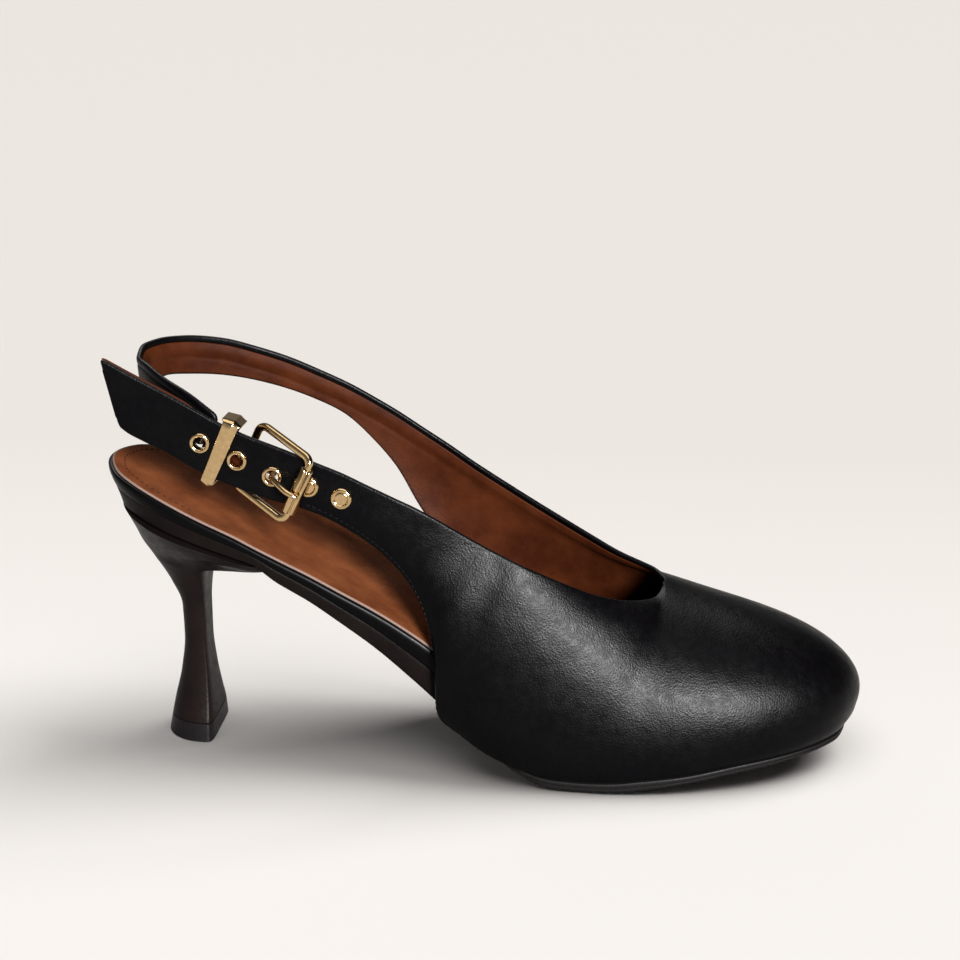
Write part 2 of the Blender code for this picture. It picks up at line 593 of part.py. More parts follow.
def build_buckle(group, gold):
    """Frame, roller on its front bar and prong round its hinge bar."""
    place = buckle_place()
    loop = rounded_loop(FRAME_LENGTH / 2, FRAME_HALF, 0.0022)
    path = [(a, b, buckle_level(a)) for a, b in loop]
    tube("buckle_frame", to_place(place, path), BAR_RADIUS, group, gold, closed=True)
    tilt = math.atan2(ROLLER_LIFT - HINGE_DEPTH, FRAME_LENGTH)
    half = FRAME_HALF - 0.0030
    inner = BAR_RADIUS + GAP
    profile = ((inner, half), (ROLLER_RADIUS, half), (ROLLER_RADIUS, -half), (inner, -half))
    spot = place @ Matrix.Translation((FRAME_LENGTH / 2, 0.0, ROLLER_LIFT))
    spot = spot @ Matrix.Rotation(-tilt, 4, "Y") @ Matrix.Rotation(math.radians(-90), 4, "X")
    turned("buckle_roller", profile, spot, group, gold, steps=16)
    eyelet = place.inverted() @ strap_place(6.60, 0.45).translation
    reach = BAR_RADIUS + GAP + PRONG_RADIUS
    path = []
    for degrees in range(-60, -271, -30):
        turn = math.radians(degrees)
        path.append((-FRAME_LENGTH / 2 + reach * math.cos(turn), HINGE_DEPTH + reach * math.sin(turn)))
    path += [(eyelet[0] - 0.0016, -0.0034), (eyelet[0] - 0.0004, -0.0030), (eyelet[0], -0.0020),
             (eyelet[0], 0.0006), (eyelet[0] + 0.0005, 0.0016)]
    top = ROLLER_LIFT + ROLLER_RADIUS + GAP + PRONG_RADIUS
    path += [(FRAME_LENGTH / 2 - 0.0023, top - 0.0004), (FRAME_LENGTH / 2 - 0.0002, top),
             (FRAME_LENGTH / 2 + 0.0014, top)]
    wire = [(a, eyelet[1], n) for a, n in path]
    tube("buckle_prong", to_place(place, wire), PRONG_RADIUS, group, gold)


def build_keeper(group, gold):
    """Flat metal loop round the strap and the tab."""
    place = strap_place(4.48, 0.5)
    deep, thick = -0.0066, 0.0012
    half_in = KEEPER_HALF - thick
    outer = ((KEEPER_HALF, GAP + thick), (-KEEPER_HALF, GAP + thick),
             (-KEEPER_HALF, deep - thick), (KEEPER_HALF, deep - thick))
    inner = ((half_in, GAP), (-half_in, GAP), (-half_in, deep), (half_in, deep))
    rings = []
    for edge, shift in ((outer, 1), (inner, 1), (inner, -1), (outer, -1)):
        rings.append([(shift * KEEPER_WIDTH / 2, b, n) for b, n in edge])
    points = [place @ Vector(p) for ring in rings for p in ring]
    faces = grid_faces(4, 4, closed=True)
    faces += [(12 + i, 12 + (i + 1) % 4, (i + 1) % 4, i) for i in range(4)]
    mesh_object("keeper_loop", points, faces, group, gold, weld=1e-6)


def build_tab(group, cutters, tan):
    """Folded leather tab from the heel strap round the buckle's hinge bar."""
    place = buckle_place()
    hinge = -FRAME_LENGTH / 2
    reach = BAR_RADIUS + GAP + TAB_THICKNESS / 2
    path = [(-0.0215, -0.0057), (-0.0175, -0.0056), (-0.0125, -0.0050)]
    for degrees in (100, 70, 35, 0, -35, -70, -100):
        turn = math.radians(degrees)
        path.append((hinge + reach * math.cos(turn), HINGE_DEPTH + reach * math.sin(turn)))
    path.append((hinge - 0.0035, HINGE_DEPTH - reach + 0.0006))
    line = np.asarray(path)
    run = np.gradient(line, axis=0)
    run /= np.linalg.norm(run, axis=1, keepdims=True)
    side = np.stack([-run[:, 1], run[:, 0]], -1) * TAB_THICKNESS / 2
    sections = []
    for point, off in zip(line, side):
        ring = []
        for sense, half in ((1, 1), (1, -1), (-1, -1), (-1, 1)):
            spot = point + sense * off
            ring.append(place @ Vector((spot[0], half * TAB_WIDTH / 2, spot[1])))
        sections.append(np.array(ring))
    tab = loft("buckle_tab", sections, group, tan, weld=1e-6)
    bpy.ops.mesh.primitive_cube_add(size=1.0)
    slit = bpy.context.active_object
    slit.name = "prong_slit"
    middle = place.inverted() @ strap_place(6.60, 0.45).translation
    size = Matrix.Diagonal((0.0084, 2 * PRONG_RADIUS + 0.0010, 0.0100, 1.0))
    slit.matrix_world = place @ Matrix.Translation((hinge - 0.0004, middle[1], HINGE_DEPTH)) @ size
    for other in list(slit.users_collection):
        other.objects.unlink(slit)
    cutters.objects.link(slit)
    cut(tab, slit)


def main():
    clear_scene()
    group = new_collection("slingback_pump")
    cutters = new_collection("cutters")
    black = material("black_leather", (0.012, 0.012, 0.014), 0.0, 0.42)
    tan = material("tan_lining", (0.30, 0.115, 0.045), 0.0, 0.55)
    cover = material("heel_cover", (0.030, 0.020, 0.016), 0.0, 0.45)
    rubber = material("black_rubber", (0.014, 0.013, 0.013), 0.0, 0.60)
    gold = material("polished_gold", (0.78, 0.60, 0.33), 1.0, 0.22)
    upper = build_upper(group, black)
    build_sole(group, tan, black, rubber)
    build_heel(group, cover, rubber)
    build_eyelets(group, cutters, gold, upper)
    build_buckle(group, gold)
    build_keeper(group, gold)
    build_tab(group, cutters, tan)


main()
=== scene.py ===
# %% [markdown]
# # A slingback pump in black leather
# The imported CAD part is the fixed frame: every piece made here lies in the same
# space, in metres, with the toe along +X, the inner side of the foot along +Y and the
# ground at Z = 0. The solids of the part carry the true shapes. This lesson dresses
# them: thin folded leather, a lining, stitches, polished metal and soft studio light.

import math

import bmesh
import bpy
import numpy as np
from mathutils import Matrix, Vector


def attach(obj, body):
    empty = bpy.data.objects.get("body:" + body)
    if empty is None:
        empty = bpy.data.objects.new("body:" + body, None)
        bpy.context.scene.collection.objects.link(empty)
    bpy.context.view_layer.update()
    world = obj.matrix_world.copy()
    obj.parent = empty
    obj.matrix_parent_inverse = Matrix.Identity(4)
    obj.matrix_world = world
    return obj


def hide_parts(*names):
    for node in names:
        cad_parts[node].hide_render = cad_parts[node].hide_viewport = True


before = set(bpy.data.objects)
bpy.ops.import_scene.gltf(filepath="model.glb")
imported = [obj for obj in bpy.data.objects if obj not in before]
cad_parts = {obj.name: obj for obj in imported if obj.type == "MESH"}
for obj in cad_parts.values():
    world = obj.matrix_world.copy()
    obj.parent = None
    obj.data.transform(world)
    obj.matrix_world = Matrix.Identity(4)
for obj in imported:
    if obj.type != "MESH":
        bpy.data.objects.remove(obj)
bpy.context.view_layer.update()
print("nodes in the frame:", sorted(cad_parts))

# %% [markdown]
# ## The shoe's own measures
# A shoemaker works from a few sizes: foot length, width at the ball and height of the
# heel seat. The tables below are shares of those three, a row for each section. They
# are the CAD source's own, so each new piece lies on the solid it dresses. Only one
# section of the throat and the top of the heel follow the photograph more closely.

# %% Sizes and tables
FOOT_LENGTH = 0.220
BALL_HALF = 0.036
SEAT_HEIGHT = 0.082
RIDGE_Y = 0.0025
MM = 0.001

# low x, y, z, top x, y, z, faces low, faces top, bulge, rise, spread, fall
UPPER = np.array((
    (-0.051, -0.708,  1.246, -0.071, -0.708,  1.487,  -92,  -92, 0.000, 0.330, 0.000, 0.330),
    (-0.039, -0.714,  1.223, -0.033, -0.714,  1.432,  -92,  -92, 0.000, 0.330, 0.000, 0.330),
    (-0.022, -0.719,  1.200,  0.006, -0.719,  1.378,  -92,  -92, 0.000, 0.330, 0.000, 0.330),
    ( 0.009, -0.728,  1.161,  0.044, -0.728,  1.324,  -92,  -92, 0.000, 0.330, 0.000, 0.330),
    ( 0.045, -0.736,  1.107,  0.081, -0.736,  1.271,  -92,  -92, 0.000, 0.330, 0.000, 0.330),
    ( 0.080, -0.744,  1.065,  0.113, -0.744,  1.234,  -92,  -92, 0.000, 0.330, 0.000, 0.330),
    ( 0.114, -0.753,  1.032,  0.145, -0.753,  1.204,  -92,  -92, 0.000, 0.330, 0.000, 0.330),
    ( 0.145, -0.761,  1.006,  0.174, -0.761,  1.176,  -92,  -92, 0.000, 0.330, 0.000, 0.330),
    ( 0.176, -0.772,  0.987,  0.203, -0.772,  1.146,  -92,  -92, 0.006, 0.330, 0.003, 0.330),
    ( 0.206, -0.781,  0.961,  0.234, -0.778,  1.115,  -92,  -92, 0.011, 0.330, 0.006, 0.330),
    ( 0.236, -0.792,  0.922,  0.264, -0.786,  1.079,  -92,  -92, 0.019, 0.330, 0.011, 0.330),
    ( 0.266, -0.800,  0.872,  0.297, -0.794,  1.040,  -92,  -91, 0.031, 0.330, 0.019, 0.330),
    ( 0.295, -0.803,  0.806,  0.330, -0.785,  0.998,  -92,  -90, 0.034, 0.336, 0.026, 0.352),
    ( 0.320, -0.801,  0.720,  0.359, -0.766,  0.953,  -92,  -88, 0.055, 0.347, 0.032, 0.366),
    ( 0.341, -0.818,  0.595,  0.391, -0.738,  0.899,  -93,  -86, 0.127, 0.371, 0.055, 0.363),
    ( 0.351, -0.829,  0.457,  0.422, -0.730,  0.853,  -95,  -84, 0.225, 0.395, 0.104, 0.336),
    ( 0.354, -0.804,  0.248,  0.453, -0.732,  0.812,  -98,  -82, 0.262, 0.403, 0.180, 0.297),
    ( 0.386, -0.854,  0.174,  0.486, -0.703,  0.769,  -99,  -81, 0.250, 0.392, 0.228, 0.256),
    ( 0.423, -0.903,  0.113,  0.521, -0.656,  0.723,  -98,  -81, 0.209, 0.382, 0.276, 0.223),
    ( 0.468, -0.944,  0.070,  0.560, -0.568,  0.673,  -95,  -82, 0.173, 0.369, 0.352, 0.170),
    ( 0.518, -0.967,  0.046,  0.599, -0.433,  0.637,  -92,  -84, 0.154, 0.358, 0.451, 0.110),
    ( 0.573, -0.969,  0.046,  0.631, -0.227,  0.620,  -88,  -86, 0.151, 0.344, 0.557, 0.046),
    ( 0.650, -0.928,  0.067,  0.643,  0.069,  0.638,  -81,  -90, 0.161, 0.346, 0.713, 0.000),
    ( 0.745, -0.800,  0.102,  0.643,  0.069,  0.638,  -68,  -76, 0.186, 0.361, 0.678, 0.000),
    ( 0.827, -0.572,  0.122,  0.643,  0.069,  0.638,  -54,  -62, 0.220, 0.400, 0.673, 0.000),
    ( 0.877, -0.267,  0.135,  0.643,  0.069,  0.638,  -30,  -38, 0.256, 0.430, 0.653, 0.000),
    ( 0.895,  0.069,  0.140,  0.643,  0.069,  0.638,    0,    0, 0.283, 0.440, 0.653, 0.000),
    ( 0.879,  0.397,  0.135,  0.643,  0.069,  0.638,   30,   38, 0.256, 0.430, 0.653, 0.000),
    ( 0.830,  0.700,  0.122,  0.643,  0.069,  0.638,   52,   60, 0.239, 0.410, 0.625, 0.000),
    ( 0.745,  0.911,  0.102,  0.643,  0.069,  0.638,   68,   74, 0.228, 0.380, 0.583, 0.000),
    ( 0.650,  1.000,  0.067,  0.643,  0.069,  0.638,   84,   90, 0.222, 0.370, 0.583, 0.000),
    ( 0.564,  0.967,  0.045,  0.631,  0.236,  0.647,   98,   92, 0.194, 0.360, 0.417, 0.060),
    ( 0.505,  0.878,  0.049,  0.582,  0.375,  0.688,  104,   95, 0.172, 0.350, 0.306, 0.130),
    ( 0.455,  0.778,  0.077,  0.540,  0.486,  0.737,  106,   97, 0.161, 0.340, 0.236, 0.190),
    ( 0.414,  0.700,  0.126,  0.499,  0.575,  0.789,  105,   98, 0.161, 0.330, 0.194, 0.240),
    ( 0.382,  0.650,  0.183,  0.456,  0.644,  0.848,  102,   98, 0.167, 0.330, 0.167, 0.270),
    ( 0.352,  0.617,  0.250,  0.417,  0.703,  0.904,   98,   97, 0.172, 0.330, 0.139, 0.300),
    ( 0.345,  0.683,  0.457,  0.380,  0.744,  0.961,   94,   95, 0.133, 0.330, 0.100, 0.320),
    ( 0.327,  0.750,  0.646,  0.344,  0.778,  1.022,   91,   92, 0.089, 0.330, 0.061, 0.330),
    ( 0.294,  0.778,  0.802,  0.309,  0.794,  1.080,   90,   90, 0.050, 0.330, 0.033, 0.330),
    ( 0.268,  0.792,  0.926,  0.274,  0.800,  1.140,   89,   89, 0.028, 0.330, 0.017, 0.330),
    ( 0.235,  0.789,  1.035,  0.241,  0.792,  1.193,   88,   88, 0.014, 0.330, 0.008, 0.330),
    ( 0.198,  0.778,  1.128,  0.206,  0.778,  1.246,   87,   87, 0.006, 0.330, 0.003, 0.330),
    ( 0.161,  0.756,  1.182,  0.168,  0.756,  1.295,   86,   86, 0.000, 0.330, 0.000, 0.330),
    ( 0.117,  0.722,  1.229,  0.125,  0.722,  1.347,   85,   85, 0.000, 0.330, 0.000, 0.330),
    ( 0.070,  0.667,  1.266,  0.079,  0.667,  1.392,   82,   82, 0.000, 0.330, 0.000, 0.330),
    ( 0.031,  0.575,  1.290,  0.037,  0.575,  1.429,  112,  112, 0.000, 0.330, 0.000, 0.330),
    (-0.005,  0.431,  1.306, -0.007,  0.431,  1.450,  130,  130, 0.000, 0.330, 0.000, 0.330),
    (-0.030,  0.250,  1.318, -0.037,  0.250,  1.456,  150,  150, 0.000, 0.330, 0.000, 0.330),
    (-0.042,  0.028,  1.309, -0.051,  0.028,  1.453,  172,  172, 0.000, 0.330, 0.000, 0.330),
    (-0.043, -0.167,  1.295, -0.048, -0.167,  1.437,  196,  196, 0.000, 0.330, 0.000, 0.330),
    (-0.030, -0.333,  1.278, -0.031, -0.333,  1.430,  220,  220, 0.000, 0.330, 0.000, 0.330),
    (-0.012, -0.472,  1.256, -0.002, -0.472,  1.398,  238,  238, 0.000, 0.330, 0.000, 0.330),
    ( 0.017, -0.578,  1.229,  0.034, -0.578,  1.358,  253,  253, 0.000, 0.330, 0.000, 0.330),
    ( 0.045, -0.642,  1.185,  0.068, -0.642,  1.301,  262,  262, 0.000, 0.330, 0.000, 0.330),
    ( 0.055, -0.653,  1.170,  0.079, -0.653,  1.283,  264,  264, 0.000, 0.330, 0.000, 0.330),
))
TOE_ROW = 26
FAN = 4
END_ROW = len(UPPER) - 1

# x share, z share of the vamp's top line, from the toe back to the throat. The throat's
# point stands twice, so sections slow down there and fan smoothly round it.
RIDGE = np.array(((0.786, 0.509), (0.777, 0.518), (0.745, 0.548), (0.691, 0.594), (0.643, 0.638),
                  (0.643, 0.638)))

# x share, then z shares: top of the insole, top of the tread, underside of the tread
HEIGHTS = np.array((
    (-0.095, 1.063, 0.962, 0.920), (-0.045, 1.016, 0.917, 0.880), (0.000, 0.966, 0.880, 0.843),
    (0.045, 0.913, 0.843, 0.805), (0.091, 0.860, 0.803, 0.767), (0.116, 0.826, 0.772, 0.745),
    (0.136, 0.800, 0.737, 0.702), (0.160, 0.769, 0.703, 0.664), (0.182, 0.741, 0.666, 0.630),
    (0.227, 0.677, 0.587, 0.547), (0.273, 0.611, 0.501, 0.457), (0.318, 0.538, 0.408, 0.354),
    (0.350, 0.479, 0.322, 0.275), (0.386, 0.396, 0.213, 0.180), (0.418, 0.313, 0.134, 0.110),
    (0.455, 0.232, 0.073, 0.046), (0.482, 0.180, 0.049, 0.016), (0.509, 0.143, 0.040, 0.000),
    (0.545, 0.120, 0.038, 0.000), (0.582, 0.110, 0.041, 0.000), (0.618, 0.112, 0.051, 0.009),
    (0.682, 0.125, 0.069, 0.034), (0.750, 0.146, 0.097, 0.063), (0.818, 0.172, 0.116, 0.088),
    (0.895, 0.198, 0.132, 0.105),
))
INSOLE_TOP, TREAD_TOP, TREAD_BOTTOM = 1, 2, 3

# x share, half width shares: insole near, far, tread near, far, then the insole's set back
OUTLINES = np.array((
    (0.891, 0.07, 0.07, 0.07, 0.07, 0.0075), (0.880, -0.16, 0.30, -0.24, 0.38, 0.0078),
    (0.855, -0.34, 0.48, -0.44, 0.57, 0.007), (0.800, -0.56, 0.67, -0.67, 0.79, 0.004),
    (0.730, -0.73, 0.81, -0.82, 0.93, 0.002), (0.650, -0.85, 0.90, -0.93, 1.00, 0.0),
    (0.575, -0.895, 0.88, -0.965, 0.97, 0.0), (0.500, -0.88, 0.80, -0.94, 0.88, 0.0),
    (0.440, -0.84, 0.69, -0.83, 0.70, 0.0), (0.386, -0.78, 0.59, -0.73, 0.575, 0.0),
    (0.340, -0.735, 0.55, -0.68, 0.54, 0.0), (0.270, -0.71, 0.56, -0.66, 0.54, 0.0),
    (0.180, -0.70, 0.60, -0.66, 0.58, 0.0), (0.115, -0.685, 0.625, -0.655, 0.605, 0.0),
    (0.060, -0.665, 0.64, -0.64, 0.62, 0.0), (0.020, -0.635, 0.63, -0.61, 0.61, 0.0),
    (-0.040, -0.515, 0.53, -0.50, 0.51, 0.0), (-0.077, -0.315, 0.33, -0.30, 0.32, 0.0),
    (-0.0925, 0.0, 0.0, 0.0, 0.0, 0.0),
))

# z share, slope, back x share, front x share, half width share, share that is rounded
HEEL = np.array((
    (0.000, 0.00, -0.035, 0.036, 0.340, 0.80), (0.068, 0.00, -0.030, 0.035, 0.312, 0.80),
    (0.130, 0.00, -0.025, 0.033, 0.255, 0.80), (0.240, 0.00, -0.015, 0.029, 0.185, 0.80),
    (0.370, 0.00, -0.009, 0.026, 0.150, 0.80), (0.490, 0.00, -0.010, 0.026, 0.155, 0.80),
    (0.585, 0.04, -0.023, 0.028, 0.205, 0.78), (0.670, 0.10, -0.042, 0.036, 0.315, 0.74),
    (0.728, 0.14, -0.058, 0.124, 0.450, 0.56), (0.786, 0.25, -0.069, 0.130, 0.590, 0.54),
    (0.838, 0.314, -0.080, 0.132, 0.685, 0.52),
))
print("sections of the upper:", len(UPPER), "- levels of the heel:", len(HEEL))

# %% [markdown]
# ## Smooth curves through the tables
# A curve through table rows must not overshoot, or a strap would bulge between two
# measured sections. A cubic whose slopes are harmonic means of the steps on both
# sides gives that: it is smooth, passes through each row and never swings past it.

# %% Curves through tables


def smooth(t):
    """Soft step: nothing up to 0, everything from 1, level at both ends."""
    t = np.clip(t, 0.0, 1.0)
    return t * t * (3 - 2 * t)


def steady(rows, at):
    """Cubic between equally spaced rows; each row's slope is the harmonic mean of its steps."""
    rows = np.asarray(rows, float)
    step = np.diff(rows, axis=0)
    before, after = step[:-1], step[1:]
    same = before * after > 0
    total = np.where(same, before + after, 1.0)
    slope = np.zeros_like(rows)
    slope[1:-1] = np.where(same, 2 * before * after / total, 0.0)
    slope[0], slope[-1] = step[0], step[-1]
    at = np.clip(np.asarray(at, float), 0, len(rows) - 1)
    i = np.minimum(np.floor(at).astype(int), len(rows) - 2)
    u = (at - i)[..., None]
    return ((1 + 2 * u) * (1 - u) ** 2 * rows[i] + u * (1 - u) ** 2 * slope[i]
            + u * u * (3 - 2 * u) * rows[i + 1] + u * u * (u - 1) * slope[i + 1])


def by_x(table, column, x):
    """The same cubic where the rows aren't equally far apart: slopes weigh both widths."""
    order = np.argsort(table[:, 0])
    knots, values = table[order, 0], table[order, column]
    width = np.diff(knots)
    chord = np.diff(values) / width
    same = chord[:-1] * chord[1:] > 0
    lean = np.zeros_like(values)
    safe = np.where(same, chord[:-1], 1.0), np.where(same, chord[1:], 1.0)
    ahead, behind = 2 * width[1:] + width[:-1], width[1:] + 2 * width[:-1]
    lean[1:-1] = np.where(same, (ahead + behind) / (ahead / safe[0] + behind / safe[1]), 0.0)
    lean[0], lean[-1] = chord[0], chord[-1]
    x = np.clip(np.asarray(x, float), knots[0], knots[-1])
    i = np.clip(np.searchsorted(knots, x) - 1, 0, len(width) - 1)
    u = (x - knots[i]) / width[i]
    return ((1 + 2 * u) * (1 - u) ** 2 * values[i] + u * (1 - u) ** 2 * width[i] * lean[i]
            + u * u * (3 - 2 * u) * values[i + 1] + u * u * (u - 1) * width[i] * lean[i + 1])


def height(column, x):
    """Height of one of the foot's levels at x: a table column times the seat height."""
    return by_x(HEIGHTS, column, np.asarray(x) / FOOT_LENGTH) * SEAT_HEIGHT


def ridge_point(u):
    """Point of the vamp's top line, u rows back from the toe."""
    x, z = np.moveaxis(steady(RIDGE, u), -1, 0)
    return np.stack([x * FOOT_LENGTH, np.full_like(x, RIDGE_Y), z * SEAT_HEIGHT], -1)


def ridge_slope(u):
    """Fall of the vamp's top line for each metre forward, zero behind the throat."""
    near, far = ridge_point(np.maximum(u - 0.05, 0.0)), ridge_point(u + 0.05)
    run = np.where(np.abs(far[..., 0] - near[..., 0]) < 1e-9, 1.0, far[..., 0] - near[..., 0])
    return np.where(u <= FAN, (far[..., 2] - near[..., 2]) / run, 0.0)


def section_point(row, share):
    """Point of one section: a cubic from the low point (share 0) to the top (share 1).

    Its two middle handles leave the ends along the section's headings, so they set how
    far the wall bulges over the foot.
    """
    row, share = np.broadcast_arrays(np.asarray(row, float), np.asarray(share, float))
    (low_x, low_y, low_z, top_x, top_y, top_z, faces_low, faces_top,
     bulge, rise, spread, fall) = np.moveaxis(steady(UPPER, row), -1, 0)
    low = np.stack([low_x * FOOT_LENGTH, low_y * BALL_HALF, low_z * SEAT_HEIGHT], -1)
    top = np.stack([top_x * FOOT_LENGTH, top_y * BALL_HALF, top_z * SEAT_HEIGHT], -1)
    along = np.abs(row - TOE_ROW)
    top = np.where((along <= FAN)[..., None], ridge_point(np.minimum(along, FAN)), top)
    tall = (top - low)[..., 2]
    low_turn, top_turn = np.radians(faces_low), np.radians(faces_top)
    out_low = np.stack([np.cos(low_turn), np.sin(low_turn), np.zeros_like(tall)], -1)
    slope = ridge_slope(along) * np.cos(top_turn)
    out_top = np.stack([np.cos(top_turn), np.sin(top_turn), slope], -1)
    up = np.array([0.0, 0.0, 1.0])
    lift = low + out_low * (bulge * BALL_HALF)[..., None] + up * (rise * tall)[..., None]
    pull = top + out_top * (spread * BALL_HALF)[..., None] - up * (fall * tall)[..., None]
    straight = (bulge + spread < 1e-4)[..., None]
    lift = np.where(straight, low + (top - low) / 3, lift)
    pull = np.where(straight, top - (top - low) / 3, pull)
    v = share[..., None]
    w = 1 - v
    return w ** 3 * low + 3 * w * w * v * lift + 3 * w * v * v * pull + v ** 3 * top


# how many rows to either side the leather evens out, and between which rows it does
EVEN_REACH, EVEN_FROM, EVEN_TO, EVEN_FADE = 0.8, 13, 37, 4


def upper_point(row, share):
    """Outer face of the upper: the section's point averaged with its neighbours'.

    Weights 1, 4, 6, 4, 1, as leather under tension evens out. The reach fades to nothing
    at both edges and along the straps, where the sections are followed as they are.
    """
    row, share = np.broadcast_arrays(np.asarray(row, float), np.asarray(share, float))
    reach = EVEN_REACH * smooth(share / 0.15) * smooth((1 - share) / 0.25)
    reach = reach * smooth((row - EVEN_FROM) / EVEN_FADE) * smooth((EVEN_TO - row) / EVEN_FADE)
    return sum(weight / 16 * section_point(row + step * reach, share)
               for weight, step in ((1, -1.0), (4, -0.5), (6, 0.0), (4, 0.5), (1, 1.0)))


print("throat at", (ridge_point(np.array(4.0)) / MM).round(1), "mm")

# %% [markdown]
# ## Helpers that turn grids into closed pieces
# Every piece here is a grid of points worked out with numpy. Blender wants a list of
# points and faces, outward normals, no doubled points and no open seams. These helpers
# weld points that coincide, drop faces that collapsed, and turn the piece outwards.

# %% Mesh helpers
EVERY_PIECE = []


def grid_faces(rows, columns, closed=False):
    """Quads of a grid: each joins a point to its next in the row and in the column."""
    i, j = np.meshgrid(np.arange(rows - 1), np.arange(columns - (not closed)), indexing="ij")
    k = (j + 1) % columns
    here, after = i * columns, (i + 1) * columns
    return np.stack([here + j, here + k, after + k, after + j], -1).reshape(-1, 4)


def weld(points, faces, fine=2e-6):
    """Points closer than the step become one; quads that lose a corner become triangles."""
    key = np.round(points / fine + 0.137).astype(np.int64)
    _, first, where = np.unique(key, axis=0, return_index=True, return_inverse=True)
    faces = where.reshape(-1)[faces]
    points = points[first]
    triangles = [faces] if faces.shape[1] == 3 else []
    quads = faces if faces.shape[1] == 4 else np.zeros((0, 4), int)
    for a, keep in ((0, (1, 2, 3)), (1, (0, 2, 3)), (2, (0, 1, 3)), (3, (0, 1, 2))):
        same = quads[:, a] == quads[:, (a + 1) % 4]
        triangles.append(quads[same][:, keep])
        quads = quads[~same]
    triangles = np.concatenate(triangles)
    a, b, c = triangles.T
    triangles = triangles[(a != b) & (b != c) & (c != a)]
    return points, quads, triangles


def volume(points, triangles):
    """Sum of the signed volumes between each triangle and the origin."""
    a, b, c = (points[triangles[:, k]] for k in range(3))
    return np.einsum("ij,ij->i", a, np.cross(b, c)).sum() / 6


def piece(name, points, faces, finish, slot_name, body="root", sharp=38):
    """Closed piece from a grid: welded, turned outwards, smooth but for edges over an angle."""
    count = len(points)
    points, quads, triangles = weld(np.asarray(points, float).reshape(-1, 3), np.asarray(faces))
    halves = np.concatenate([quads[:, [0, 1, 2]], quads[:, [0, 2, 3]], triangles])
    sense = 1 if volume(points, halves) > 0 else -1
    mesh = bpy.data.meshes.new(name)
    mesh.from_pydata(points.tolist(), [], quads[:, ::sense].tolist() + triangles[:, ::sense].tolist())
    mesh.update()
    mesh.shade_smooth()
    mesh.set_sharp_from_angle(angle=math.radians(sharp))
    item = bpy.data.objects.new(name, mesh)
    bpy.context.scene.collection.objects.link(item)
    mesh.materials.append(finish)
    sides = np.concatenate([quads[:, [k, (k + 1) % 4]] for k in range(4)]
                           + [triangles[:, [k, (k + 1) % 3]] for k in range(3)])
    uses = np.unique(np.sort(sides, axis=1), axis=0, return_counts=True)[1]
    print(f"{name}: {len(halves)} triangles, {count - len(points)} doubles welded,"
          f" {int((uses == 1).sum())} open edges")
    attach(item, body)
    EVERY_PIECE.append(item)
    return item


def lofted(rings):
    """Points and quads of closed rings, with both ends drawn in to their middles."""
    rings = np.asarray(rings, float)
    middles = rings[[0, -1]].mean(axis=1, keepdims=True) * np.ones((1, rings.shape[1], 1))
    rings = np.concatenate([middles[:1], rings, middles[1:]])
    return rings.reshape(-1, 3), grid_faces(len(rings), rings.shape[1], closed=True)


def unit(v):
    """Vectors made one long."""
    return v / np.maximum(np.linalg.norm(v, axis=-1, keepdims=True), 1e-12)


def full_turn(sides):
    """Angles once round; the last is left out, since it is the first again."""
    return np.linspace(0.0, math.tau, sides, endpoint=False)


def squared(wave, power):
    """A sine or cosine to a power, its sign kept: under one, a circle turns squarer."""
    return np.sign(wave) * np.abs(wave) ** power


def bell(away, wide):
    """One in the middle, falling off with the square of the distance over the width."""
    return np.exp(-(away / wide) ** 2)


def rolled(away, radius):
    """Quarter round: how far a face drops towards the wall's middle near a free edge."""
    inside = np.clip(radius - away, 0.0, radius)
    return radius - np.sqrt(np.maximum(radius ** 2 - inside ** 2, 0.0))


def distance_to(points, line):
    """Distance from points to a polyline: nearest corner first, then its two segments."""
    found = np.empty(len(points))
    for start in range(0, len(points), 3000):
        some = points[start:start + 3000]
        nearest = ((some[:, None] - line[None]) ** 2).sum(-1).argmin(1)
        best = np.full(len(some), np.inf)
        for before, after in ((-1, 0), (0, 1)):
            a = line[np.clip(nearest + before, 0, len(line) - 1)]
            b = line[np.clip(nearest + after, 0, len(line) - 1)]
            run = b - a
            size = np.maximum((run * run).sum(-1), 1e-18)
            t = np.clip(((some - a) * run).sum(-1) / size, 0.0, 1.0)[:, None]
            best = np.minimum(best, np.linalg.norm(some - a - run * t, axis=-1))
        found[start:start + 3000] = best
    return found


print("helpers ready")

# %% [markdown]
# ## Finishes
# Leather is black or cognac dye under a thin clear finish. What makes it read as
# leather is not its colour but how light breaks on it: a pebbled grain of about half
# a millimetre, pores, and slow changes of gloss. Each finish below is one Principled
# shader with noise and cell patterns in object coordinates, so the grain is to scale
# and doesn't slide. Values that are the same all over sit on the shader's sockets.

# %% Finishes


